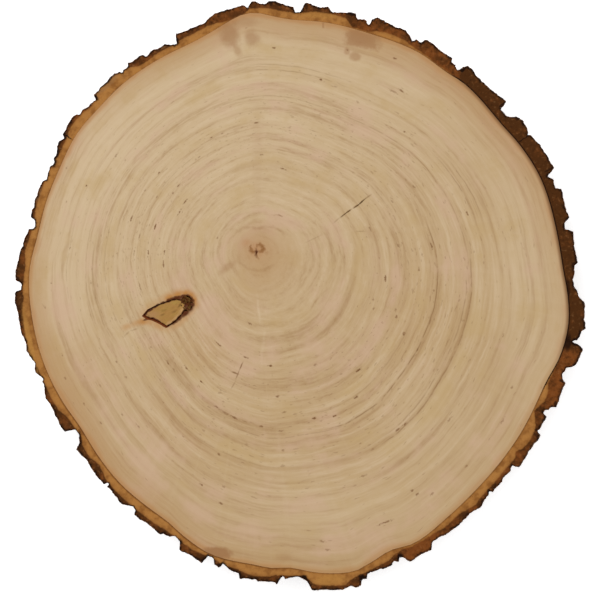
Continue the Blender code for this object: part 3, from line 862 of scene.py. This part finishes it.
def splitCutter(start, end, width, depth):
    # a thin pointed blade, standing 1 mm proud of the face and closing downwards
    step = Vector(end) - Vector(start)
    middle = (Vector(end) + Vector(start)) / 2
    bpy.ops.mesh.primitive_cylinder_add(
        vertices=14, radius=0.5, depth=(depth + 1) * mm,
        location=(middle.x * mm, middle.y * mm, topHeight + (1 - depth) / 2 * mm),
        rotation=(0, 0, math.atan2(step.y, step.x)), scale=(step.length * mm, width * mm, 1),
    )
    cutter = bpy.context.object
    bpy.ops.object.transform_apply(location=True, rotation=True, scale=True)
    bpy.ops.object.mode_set(mode="EDIT")
    choose(cutter, "VERT", lambda point: point.co.z < topHeight)
    lowest = (middle.x * mm, middle.y * mm, topHeight - depth * mm)
    bpy.ops.transform.resize(value=(0.5, 0.5, 1), center_override=lowest)
    bpy.ops.object.mode_set(mode="OBJECT")
    return cutter


def pocketCutter():
    # the knot's own solid, a seam's width fatter all round
    cutter = copyOfNode("dead_knot", "pocketCutter")
    bpy.ops.object.mode_set(mode="EDIT")
    bpy.ops.mesh.select_all(action="SELECT")
    bpy.ops.transform.shrink_fatten(value=woodPiece["pocketSeam"], use_even_offset=True)
    bpy.ops.object.mode_set(mode="OBJECT")
    return cutter


def addHollowBall(across, drop, depth):
    # a ball over the hollow's middle, this share of its width and this many mm down and deep
    middle, halfSize = hollow["middle"], hollow["halfSize"]
    bpy.ops.mesh.primitive_ico_sphere_add(
        subdivisions=4, radius=mm, location=(middle[0] * mm, middle[1] * mm, topHeight - drop * mm),
        scale=(halfSize[0] * across, halfSize[1] * across, depth),
    )
    return bpy.context.object


def hollowCutter():
    cutter = addHollowBall(1, 0, hollow["depth"])
    bpy.ops.object.transform_apply(location=True, rotation=True, scale=True)
    return cutter


def makeWood(woodMaterial, cutMaterial):
    piece = copyOfNode("wood_disc", "wood")
    layDisc(piece)
    piece.data.materials.append(woodMaterial)
    writeRingMap(piece)
    wall = piece.modifiers.new("thickness", "SOLIDIFY")
    wall.thickness = topHeight
    wall.offset = -1
    applyAll(piece)
    cutters = [pocketCutter(), hollowCutter()] + [splitCutter(*row) for row in splits]
    for cutter in cutters:
        cutter.data.materials.clear()
        cutter.data.materials.append(cutMaterial)
        cut = piece.modifiers.new("cut", "BOOLEAN")
        cut.operation = "DIFFERENCE"
        cut.solver = "EXACT"
        cut.material_mode = "TRANSFER"
        cut.object = cutter
    applyAll(piece)
    for cutter in cutters:
        bpy.data.objects.remove(cutter)
    finish(piece, 30, "wood_disc")


# Bark

barkPiece = {
    "firstCuts": 3,  # each edge of the solid's mesh is divided this often
    "seam": 0.06 * mm,  # left between bark and wood, which the solids keep further apart
    "plateSize": 6 * mm,  # plates on the outer side, parted by cracks
    "plateDepth": 1.7 * mm,
    "scaleSize": 2.4 * mm,  # scales on each plate
    "scaleDepth": 0.7 * mm,
    "grainSize": 1.4 * mm,
    "grainDepth": 0.8 * mm,
    "chipSize": 0.6 * mm,
    "chipDepth": 0.45 * mm,
    "nibbleSize": 1.1 * mm,  # bites out of the sawn edges
    "nibbleDepth": 1 * mm,
    "upright": 2.4,  # how much longer plates, scales and grain are than wide
    "crumble": -0.9 * mm,  # how far the crust falls below the sawn face
}

# How far the ochre inner bark reaches beyond the wood, in mm; the dark crust takes the rest
ochreReach = (
    (0, 0), (54, 0), (56, 0.4), (58, 0.6), (60, 0.5), (64, 0.8), (66, 1.5), (68, 2.6), (72, 3), (74, 2),
    (75.5, 0.6), (79, 0.5), (80.5, 4), (84, 4.6), (88, 4.5), (89.5, 3.8), (91.5, 3.5), (96, 3.6), (98, 2.6),
    (100, 2.2), (101, 0.3), (104, 0.2), (105.5, 1), (107, 2.5), (109, 3.6), (115, 3.7), (118, 3), (121, 2.8),
    (123, 2), (125, 2.2), (126.5, 4.2), (129, 5), (131, 6), (135, 6), (136, 4), (138, 3.3), (140, 4.3),
    (144, 4.4), (146, 3.2), (150, 3), (151.5, 4), (156, 4.2), (162, 4.1), (165, 3.2), (167, 3.7), (171, 4),
    (172.3, 3), (174.5, 2.2), (177, 2.8), (178.5, 3.3), (180.5, 3), (183, 4.3), (188, 4.8), (192, 4.4),
    (196, 3.6), (200, 3.8), (203, 4.2), (205.5, 4), (207, 2.8), (208.7, 2.3), (210.5, 2.6), (213, 2.2),
    (214.5, 3.8), (218, 3.8), (219, 2.6), (220.3, 2.2), (222, 3), (223.5, 4), (230, 4.4), (238, 4.6),
    (243, 3), (247, 2.8), (251, 1.2), (254, 3), (257, 3.7), (259, 5), (260.5, 5.6), (263, 4.6), (265, 3.6),
    (268, 4), (271, 2.5), (272.5, 5.6), (274, 6.2), (279, 6.2), (280, 4), (282, 2.6), (285, 3.4),
    (288.5, 4.2), (290, 2.8), (292, 1.2), (296, 1), (299, 1.5), (302, 2.9), (304, 3), (306, 2.6), (308, 4),
    (310, 5), (313, 4.2), (320, 4.3), (323, 4.6), (324.2, 3), (325.5, 5), (328, 6), (331, 4.8), (332.5, 2.5),
    (333.8, 0.7), (335.2, 2), (336.5, 3.3), (339, 3), (340.5, 1.2), (344, 0.6), (348, 0.2), (352, 0),
)
# How dark the crust is: 0 reddish brown, 1 dark brown
crustTone = (
    (0, 1), (53, 1), (56, 0.45), (78, 0.35), (81, 0.65), (128, 0.7), (165, 0.7), (178, 0.85), (200, 0.8),
    (260, 0.75), (289, 0.75), (292, 0.25), (299, 0.25), (302, 0.6), (336, 0.65), (339, 0.25), (348, 0.3),
    (350, 1),
)
# How dark the line between wood and bark is
cambiumTone = (
    (0, 1), (54, 0.9), (60, 0.4), (75, 0.35), (80, 0), (100, 0), (101.5, 0.5), (105, 0.4), (107, 0), (148, 0),
    (155, 0.3), (198, 0.35), (202, 0.65), (262, 0.65), (266, 0.3), (335, 0.3), (340, 0.9),
)

barkLook = {
    "ochre": screen(172, 118, 60),
    "ochreDark": screen(140, 90, 42),
    "yellow": screen(186, 134, 66),
    "crustRed": screen(124, 69, 28),
    "crustDark": screen(76, 43, 16),
    # near black: the bark's own darkest lines and pits, and the colour of painted shade at its edges, pits
    # and fissures
    "blackAndShade": screen(30, 14, 6),
    "cambium": screen(104, 62, 28),
    "dust": screen(146, 106, 66),
    "crest": screen(112, 82, 58),
    "fissure": screen(58, 30, 15),
    "roughness": 0.85,
    "specular": 0.05,
}

# Marks on the sawn bark: degrees, mm beyond the wood, half size along the rim and across it, strength, colour
barkMarks = (
    (191, 4, 20, 1.6, 0.5, "yellow"), (86, 3, 8, 1.6, 0.3, "yellow"), (276, 3.4, 8, 2.6, 0.4, "yellow"),
    (132.6, 5.2, 8, 1.7, 0.5, "dust"), (119, 5, 4, 1.2, 0.4, "dust"), (159, 4.8, 5, 1, 0.35, "dust"),
    (103, 1.6, 4.2, 1.6, 0.6, "crustDark"),
)
# Painted shade in its notches, pits and cracks, over the dark crust, likewise
barkPitShade = (
    (350, 1.6, 4.5, 1.8, 0.85), (1.5, 0.8, 5, 1.2, 0.7), (54.2, 6, 1, 2.2, 1),
    (43.4, 6.6, 0.5, 2.2, 0.9), (26.8, 6, 0.6, 2.8, 0.7), (88.7, 7, 0.7, 2, 0.7),
    (95.6, 6.2, 0.9, 1.4, 0.7), (135.9, 4.8, 1, 1.9, 1), (145.6, 3.4, 0.45, 2.8, 0.95),
    (35, 4.4, 0.35, 4.6, 0.9), (100.4, 3.8, 0.7, 1.6, 0.7), (176.6, 6.4, 1, 1.4, 0.6),
    (210, 6.8, 0.6, 1.6, 0.7), (223.8, 5.6, 0.6, 1.4, 0.8), (249.8, 5.6, 0.6, 1.8, 0.7),
    (266, 5.8, 0.7, 2, 1), (270.9, 4.2, 1.5, 1.8, 1), (282.4, 4.8, 1.7, 2, 1), (280.2, 8.2, 1, 1, 0.8),
    (291, 5, 1.5, 1.9, 1), (314, 5.6, 1, 1.6, 0.8), (342, 7.6, 1, 2.2, 0.9), (337, 8.8, 1.6, 0.9, 0.8),
    (350.2, 6.4, 1.2, 2.4, 1), (79.6, 6.8, 1, 1.2, 0.8), (121, 5.6, 1.6, 0.9, 0.8),
    (141.6, 6.4, 2.2, 0.8, 0.7), (329.4, 7.4, 0.8, 2, 0.6), (14, 5.6, 0.7, 2, 0.6),
)


def rimPlace(degrees, beyond):
    # a place this many mm outside the wood, in mm
    turn = math.radians(degrees)
    out = float(edgeAt(woodAboutOrigin, turn)) / mm + beyond
    return (out * math.cos(turn), out * math.sin(turn))


def roughenBark(piece):
    settings = barkPiece
    places = pointsOf(piece)
    turns = np.arctan2(places[:, 1], places[:, 0])
    beyond = np.hypot(places[:, 0], places[:, 1]) - edgeAt(woodAboutOrigin, turns)
    normals = np.array([tuple(point.normal) for point in piece.data.vertices])
    upright = 1 - rise(np.abs(normals[:, 2]), 0.55, 0.95)
    outside = upright * rise(beyond, 0.8 * mm, 1.6 * mm)
    fromFace = np.minimum(topHeight - places[:, 2], places[:, 2])
    weightGroup(piece, "edges", outside * (1 - 0.8 * rise(fromFace, 0.5 * mm, 4 * mm)))
    outside *= 0.35 + 0.65 * rise(fromFace, 0.3 * mm, 3 * mm)
    reach = around(ochreReach, np.degrees(turns)) * mm
    crust = (normals[:, 2] > 0.3) * rise(beyond - reach, 0, 0.7 * mm)
    weightGroup(piece, "outside", outside)
    weightGroup(piece, "crust", crust)
    guide = bpy.data.objects.new("upright", None)
    guide.scale = (1, 1, settings["upright"])
    bpy.context.scene.collection.objects.link(guide)
    bpy.context.view_layer.update()
    voronoi = {"guide": guide, "weight_1": -1, "weight_2": 1}
    layers = (
        ("plates", "VORONOI", "plateSize", "plateDepth", "outside", 0.9, {**voronoi, "noise_intensity": 3}),
        ("scales", "VORONOI", "scaleSize", "scaleDepth", "outside", 0.5, {**voronoi, "noise_intensity": 1.8}),
        ("grain", "CLOUDS", "grainSize", "grainDepth", "outside", 0.5, {"guide": guide, "noise_depth": 2}),
        ("chips", "CLOUDS", "chipSize", "chipDepth", "outside", 0.5, {"noise_depth": 1}),
        ("nibbles", "CLOUDS", "nibbleSize", "nibbleDepth", "edges", 0.45, {"noise_depth": 2}),
        ("crumble", "CLOUDS", "grainSize", "crumble", "crust", 0, {"direction": "Z", "noise_depth": 3}),
    )
    for name, kind, size, depth, group, middle, more in layers:
        displaceBy(piece, name, kind, settings[size], settings[depth], group, middle, **more)
    applyAll(piece)
    bpy.data.objects.remove(guide)
    lowest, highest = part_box("bark_ring")
    rough = np.clip(pointsOf(piece), np.array(lowest), np.array(highest))
    onSeam = beyond < 0.6 * mm
    pulled = (edgeAt(woodAboutOrigin, turns) + settings["seam"])[onSeam]
    rough[onSeam, 0] = np.cos(turns[onSeam]) * pulled
    rough[onSeam, 1] = np.sin(turns[onSeam]) * pulled
    putPoints(piece, rough)
    piece.vertex_groups.clear()
    sunk = np.hypot(places[:, 0], places[:, 1]) - np.hypot(rough[:, 0], rough[:, 1])
    writeAttribute(piece, "sunk", np.where(onSeam, 0, sunk) / mm)


def writeBarkMaps(piece):
    # how far each point of the bark is from the wood, from the ochre's edge and from the outer edges, in mm
    places = pointsOf(piece)
    turns = np.arctan2(places[:, 1], places[:, 0])
    degrees = np.degrees(turns)
    out = np.hypot(places[:, 0], places[:, 1])
    beyond = (out - edgeAt(woodAboutOrigin, turns)) / mm
    writeAttribute(piece, "beyondWood", beyond)
    writeAttribute(piece, "insideOchre", around(ochreReach, degrees) - beyond)
    sawn, side = set(), set()
    for face in piece.data.polygons:
        (side if face.material_index else sawn).update(face.vertices)
    edges = [index for index in sawn & side if beyond[index] > 0.8]
    tree = kdtree.KDTree(len(edges))
    for index in edges:
        tree.insert(places[index], index)
    tree.balance()
    writeAttribute(piece, "fromRim", [tree.find(place)[2] / mm for place in places])
    writeAttribute(piece, "crustTone", around(crustTone, degrees))
    writeAttribute(piece, "cambium", around(cambiumTone, degrees))


def makeWearGroup():
    # dark pits where the surface is high in a noise, and dust where it is low
    group = bpy.data.node_groups.new("bark_wear", "ShaderNodeTree")
    group.interface.new_socket("Colour", in_out="INPUT", socket_type="NodeSocketColor")
    for name in ("Unevenness", "Pits From", "Pits To", "Pits", "Dust From", "Dust To", "Dust"):
        group.interface.new_socket(name, in_out="INPUT", socket_type="NodeSocketFloat")
    group.interface.new_socket("Colour", in_out="OUTPUT", socket_type="NodeSocketColor")
    given = group.nodes.new("NodeGroupInput").outputs
    pits = fade(group, given["Unevenness"], given["Pits From"], given["Pits To"], given["Pits"])
    dust = fade(group, given["Unevenness"], given["Dust From"], given["Dust To"], given["Dust"])
    colour = mixColours(group, pits, given["Colour"], barkLook["blackAndShade"])
    colour = mixColours(group, dust, colour, barkLook["dust"])
    group.links.new(colour, group.nodes.new("NodeGroupOutput").inputs["Colour"])
    return group


def addWear(tree, group, colour, unevenness, pits, dust):
    # pits and dust are each from, to and strength
    values = dict(enumerate((colour, unevenness, *pits, *dust)))
    return addNode(tree, "ShaderNodeGroup", values, node_tree=group).outputs[0]


def makeSawnBarkMaterial(wear):
    # the bark's cut end: ochre inner bark, then the crust, with painted shade along its outer edges and in
    # its pits
    look = barkLook
    material, tree, shader = newMaterial("sawn_bark", look["roughness"], look["specular"])
    places = addNode(tree, "ShaderNodeTexCoord").outputs["Object"]
    flat = vectorCalc(tree, "MULTIPLY_ADD", places, (1, 1, 0), (0, 0, topHeight))
    blotch = calc(tree, "SUBTRACT", noiseOf(tree, flat, 230, 3, 0.55), 0.5)
    coarse = calc(tree, "SUBTRACT", noiseOf(tree, places, 560, 3, 0.6), 0.5)
    small = calc(tree, "SUBTRACT", noiseOf(tree, places, 1500, 2), 0.5)
    depth = calc(tree, "MULTIPLY_ADD", coarse, 1.5, attributeOf(tree, "insideOchre"))
    ochre = mixColours(tree, fade(tree, blotch, -0.1, 0.2), look["ochre"], look["ochreDark"])
    ochre = mixColours(tree, fade(tree, depth, 1.6, 0.1, 0.4), ochre, look["ochreDark"])
    tone = calc(tree, "MULTIPLY_ADD", blotch, 2.2, attributeOf(tree, "crustTone"))
    tone = calc(tree, "MULTIPLY_ADD", coarse, 0.9, tone)
    crust = mixColours(tree, fade(tree, tone, 0, 1), look["crustRed"], look["crustDark"])
    crust = addWear(tree, wear, crust, coarse, (0.06, 0.26, 0.5), (-0.06, -0.24, 0.3))
    colour = mixColours(tree, fade(tree, depth, -0.45, 0.4), crust, ochre)
    ragged = shaken(tree, flat, 650, 1.6)
    # the pits are painted shade, in the near-black colour
    marks = [*barkMarks, *((*row, "blackAndShade") for row in barkPitShade)]
    for degrees, beyond, halfAlong, halfAcross, strength, name in marks:
        spot = patch(tree, ragged, rimPlace(degrees, beyond), (halfAlong, halfAcross), degrees + 90)
        colour = mixColours(tree, fade(tree, spot, 1.3, 0.6, strength), colour, look[name])
    # painted shade: a near-black outline along the outer edges, where the plates' flanks fall away into shade
    rim = calc(tree, "MULTIPLY_ADD", coarse, -1.8, attributeOf(tree, "fromRim"))
    rim = calc(tree, "MULTIPLY_ADD", blotch, -2.4, rim)
    colour = mixColours(tree, fade(tree, rim, 1.5, 0.25, 0.95), colour, look["blackAndShade"])
    line = calc(tree, "MULTIPLY_ADD", coarse, 0.8, attributeOf(tree, "beyondWood"))
    darkness = attributeOf(tree, "cambium")
    line = calc(tree, "MULTIPLY", fade(tree, line, 1, 0.3), darkness)
    cambium = mixColours(tree, fade(tree, darkness, 0.6, 0.9), look["cambium"], look["blackAndShade"])
    colour = mixColours(tree, line, colour, cambium)
    tree.links.new(colour, shader.inputs["Base Color"])
    bumpBy(tree, shader, calc(tree, "ADD", small, coarse), 0.6, 0.4 * mm)
    return material


def makeBarkSideMaterial(wear):
    # the weathered outer side: grey brown on the crests, dark and reddish in the fissures, with painted shade
    # near black where the surface sinks in
    look = barkLook
    material, tree, shader = newMaterial("bark_side", look["roughness"], look["specular"])
    places = addNode(tree, "ShaderNodeTexCoord").outputs["Object"]
    tall = stretched(tree, places, (1, 1, 0.3))
    coarse = noiseOf(tree, tall, 300, 4, 0.6)
    small = noiseOf(tree, tall, 1400, 3, 0.65)
    height = calc(tree, "MULTIPLY_ADD", coarse, 3.5, attributeOf(tree, "beyondWood"))
    colour = mixColours(tree, fade(tree, height, 3.5, 9), look["fissure"], look["crustRed"])
    flakes = calc(tree, "SUBTRACT", noiseOf(tree, tall, 650, 4, 0.7), 0.5)
    crests = calc(tree, "MULTIPLY_ADD", flakes, 9, height)
    colour = mixColours(tree, fade(tree, crests, 6.5, 10.5, 0.9), colour, look["crest"])
    # painted shade: near black where the roughening sank the surface in, and the dust colour where it stands
    # out
    colour = mixColours(tree, fade(tree, attributeOf(tree, "sunk"), 0.3, 1.3, 0.85), colour, look["blackAndShade"])
    colour = mixColours(tree, fade(tree, attributeOf(tree, "sunk"), -0.05, -0.5, 0.5), colour, look["dust"])
    colour = addWear(tree, wear, colour, small, (0.5, 0.72, 0.6), (0.45, 0.28, 0.4))
    tree.links.new(colour, shader.inputs["Base Color"])
    bumpBy(tree, shader, calc(tree, "ADD", small, coarse), 0.8, 0.6 * mm)
    return material


def makeBark(sawnMaterial, sideMaterial):
    piece = copyOfNode("bark_ring", "bark")
    piece.data.materials.append(sawnMaterial)
    piece.data.materials.append(sideMaterial)
    pickOnly(piece)
    bpy.ops.object.mode_set(mode="EDIT")
    choose(piece, "FACE", lambda face: abs(face.normal.z) < 0.5)
    piece.active_material_index = 1
    bpy.ops.object.material_slot_assign()
    bpy.ops.mesh.select_all(action="SELECT")
    bpy.ops.mesh.subdivide(number_cuts=barkPiece["firstCuts"])
    bpy.ops.object.mode_set(mode="OBJECT")
    roughenBark(piece)
    writeBarkMaps(piece)
    finish(piece, 40, "bark_ring")


# Knot, and the rotted bark beside it

knotPiece = {
    "voxel": 0.45 * mm,
    "unevenness": 0.5 * mm,
    "lumps": 1.6 * mm,
    "worn": 0.62,  # at half the surface stays where it was on the whole, and above that it shrinks
    "inset": 0.05 * mm,  # it stays this far inside both faces
    "turn": 27,  # degrees, the way it lies
    "roughness": 0.7,
    "specular": 0.2,
    "wood": screen(165, 121, 62),
    "pale": screen(196, 154, 102),
    "pinkish": screen(172, 128, 84),
    "greenish": screen(170, 136, 66),
    "dark": screen(118, 84, 32),
    "edge": screen(84, 38, 8),
}
crumbPiece = {
    "seed": 4,
    "crumbs": 46,
    "size": (0.55, 1.1),  # mm
    "spread": 0.9,  # how far out they lie, as a share of the hollow
    "bed": (0.85, 2.3, 1.7),  # what they lie on: width as a share of the hollow, drop and depth in mm
    "voxel": 0.2 * mm,
    "lumps": 0.7 * mm,
    "below": 0.05 * mm,  # they stay this far under the wood's face
    "dark": screen(78, 38, 10),
    "brown": screen(98, 70, 30),
    "pale": screen(136, 98, 52),
    "reddish": screen(108, 58, 46),
    "roughness": 0.9,
    "specular": 0.1,
}
# Strokes on its face
knotStreaks = (
    (((-58, -6), (-60, -9.2), (-63.6, -13), (-66.8, -15)), 1.1, 0.7, "pale"),
    (((-77, -10), (-71, -9.5)), 2.2, 0.7, "pinkish"), (((-73, -11.2), (-69.6, -12.8)), 1, 0.6, "pinkish"),
    (((-64.5, -3.6), (-61, -3.4)), 0.8, 0.6, "greenish"), (((-69.6, -9.9), (-67.9, -9.2)), 0.5, 0.6, "dark"),
    (((-63.8, -8.5), (-61.8, -7.5)), 0.6, 0.6, "dark"), (((-60.9, -5.6), (-59.4, -4)), 0.5, 0.9, "dark"),
    (((-71.6, -10.4), (-70.9, -10.8)), 0.5, 0.4, "greenish"),
    (((-76.3, -9.6), (-75.4, -10.3)), 0.3, 0.6, "dark"),
)


def makeKnotMaterial():
    settings = knotPiece
    material, tree, shader = newMaterial("knot_wood", settings["roughness"], settings["specular"])
    places = addNode(tree, "ShaderNodeTexCoord").outputs["Object"]
    drawnOut = stretched(tree, places, (1, 1, 0.4), -settings["turn"])
    drawnOut = vectorCalc(tree, "MULTIPLY", drawnOut, (0.28, 1, 1))
    streak = noiseOf(tree, drawnOut, 700, 3, 0.6)
    colour = mixColours(tree, fade(tree, streak, 0.4, 0.62, 0.35), settings["wood"], settings["greenish"])
    colour = mixColours(tree, fade(tree, streak, 0.56, 0.75, 0.4), colour, settings["dark"])
    onFace = vectorCalc(tree, "MULTIPLY_ADD", places, (1, 1, 0), (0, 0, topHeight))
    ragged = shaken(tree, onFace, 500, 1)
    colour = addStrokes(tree, ragged, colour, knotStreaks, settings, 1.5, 0.1)
    seam = fade(tree, stroke(tree, ragged, knotSeam, 0.7), 1.25, 0.6)
    height = addNode(tree, "ShaderNodeSeparateXYZ", {0: places}).outputs[2]
    side = calc(tree, "MAXIMUM", seam, fade(tree, height, topHeight - 0.6 * mm, topHeight - 1.6 * mm))
    colour = mixColours(tree, side, colour, settings["edge"])
    tree.links.new(colour, shader.inputs["Base Color"])
    bumpBy(tree, shader, streak, 0.4, 0.3 * mm)
    return material


def makeKnot(material):
    settings = knotPiece
    piece = copyOfNode("dead_knot", "knot")
    piece.data.materials.append(material)
    voxelMesh(piece, settings["voxel"])
    roughenAll(piece, "uneven", settings["lumps"], settings["unevenness"], settings["worn"])
    lowest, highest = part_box("wood_disc")
    inset = settings["inset"]
    putPoints(piece, np.clip(pointsOf(piece), np.array(lowest) + inset, np.array(highest) - inset))
    finish(piece, 50, "dead_knot")


def makeCrumbMaterial():
    settings = crumbPiece
    material, tree, shader = newMaterial("rotted_bark", settings["roughness"], settings["specular"])
    places = addNode(tree, "ShaderNodeTexCoord").outputs["Object"]
    patchy = noiseOf(tree, places, 900, 3, 0.6)
    tint = noiseOf(tree, places, 330, 1)
    colour = mixColours(tree, fade(tree, patchy, 0.4, 0.6), settings["dark"], settings["brown"])
    colour = mixColours(tree, fade(tree, patchy, 0.58, 0.7), colour, settings["pale"])
    colour = mixColours(tree, fade(tree, tint, 0.5, 0.62, 0.5), colour, settings["reddish"])
    tree.links.new(colour, shader.inputs["Base Color"])
    bumpBy(tree, shader, patchy, 0.7, 0.4 * mm)
    return material


def makeCrumbs(material):
    # rotted bark that fills the hollow beside the knot
    settings = crumbPiece
    draw = random.Random(settings["seed"])
    middle, halfSize = hollow["middle"], hollow["halfSize"]
    crumbs = [addHollowBall(*settings["bed"])]
    for _ in range(settings["crumbs"]):
        turn = draw.uniform(0, 2 * math.pi)
        out = math.sqrt(draw.random()) * settings["spread"]
        size = draw.uniform(*settings["size"])
        drop = size * 0.75 + draw.uniform(0.05, 0.45)
        x = middle[0] + halfSize[0] * out * math.cos(turn)
        y = middle[1] + halfSize[1] * out * math.sin(turn)
        bpy.ops.mesh.primitive_ico_sphere_add(
            subdivisions=3, radius=size * mm, location=(x * mm, y * mm, topHeight - drop * mm),
            rotation=(draw.uniform(0, 3), draw.uniform(0, 3), draw.uniform(0, 3)),
            scale=(1, draw.uniform(0.6, 1), draw.uniform(0.5, 0.9)),
        )
        crumbs.append(bpy.context.object)
    bpy.ops.object.select_all(action="DESELECT")
    for crumb in crumbs:
        crumb.select_set(True)
    bpy.context.view_layer.objects.active = crumbs[0]
    bpy.ops.object.join()
    piece = bpy.context.object
    piece.name = piece.data.name = "knot_crumbs"
    bpy.ops.object.transform_apply(location=True, rotation=True, scale=True)
    voxelMesh(piece, settings["voxel"])
    roughenAll(piece, "crumbly", settings["lumps"], settings["lumps"], 0.5)
    places = pointsOf(piece)
    places[:, 2] = np.minimum(places[:, 2], topHeight - settings["below"])
    putPoints(piece, places)
    piece.data.materials.clear()
    piece.data.materials.append(material)
    finish(piece, 40)


# Floor, light and camera

studio = {
    "floor": (0.97, 0.97, 0.97, 1),
    "floorGlow": 0.42,  # the floor is lit from below a little, as a light table
    "floorSize": 8,  # metres
    "worldLight": 0.92,
    "keyPlace": (-1.1, 1.3, 1.5),
    "keySize": 1.4,
    "keyPower": 20,
    "lens": 135,  # mm
    "sensor": 36,  # mm
    "frameWidth": 300 * mm,  # what the picture takes in across the top face
    "frameMiddle": (0, -2.25 * mm),
}


def makeStudio():
    # a glowing floor, a white world and one soft light from the upper left
    bpy.ops.mesh.primitive_plane_add(size=studio["floorSize"], location=(0, 0, -0.02 * mm))
    floor = bpy.context.object
    floor.name = "floor"
    material, _, shader = newMaterial("pale_floor", 0.9, 0)
    shader.inputs["Base Color"].default_value = studio["floor"]
    shader.inputs["Emission Color"].default_value = (1, 1, 1, 1)
    shader.inputs["Emission Strength"].default_value = studio["floorGlow"]
    floor.data.materials.append(material)
    print("floor:", studio["floorSize"], "m wide")
    world = bpy.data.worlds.new("studio")
    world.use_nodes = True
    background = world.node_tree.nodes["Background"].inputs
    background["Color"].default_value = (1, 1, 1, 1)
    background["Strength"].default_value = studio["worldLight"]
    bpy.context.scene.world = world
    bpy.ops.object.light_add(type="AREA", location=studio["keyPlace"])
    key = bpy.context.object
    key.data.size = studio["keySize"]
    key.data.energy = studio["keyPower"]
    key.rotation_euler = (-Vector(studio["keyPlace"])).to_track_quat("-Z", "Y").to_euler()
    bpy.context.scene.view_settings.view_transform = "Standard"


def makeCamera():
    distance = studio["frameWidth"] * studio["lens"] / studio["sensor"]
    bpy.ops.object.camera_add(location=(*studio["frameMiddle"], topHeight + distance), rotation=(0, 0, 0))
    camera = bpy.context.object
    camera.data.lens = studio["lens"]
    camera.data.sensor_width = studio["sensor"]
    camera.data.clip_end = 100
    bpy.context.scene.camera = camera
    print("camera:", round(distance, 2), "m above the face")


makeStudio()
makeCamera()
makeWood(makeWoodMaterial(), makeCutMaterial())
barkWear = makeWearGroup()
makeBark(makeSawnBarkMaterial(barkWear), makeBarkSideMaterial(barkWear))
makeKnot(makeKnotMaterial())
makeCrumbs(makeCrumbMaterial())
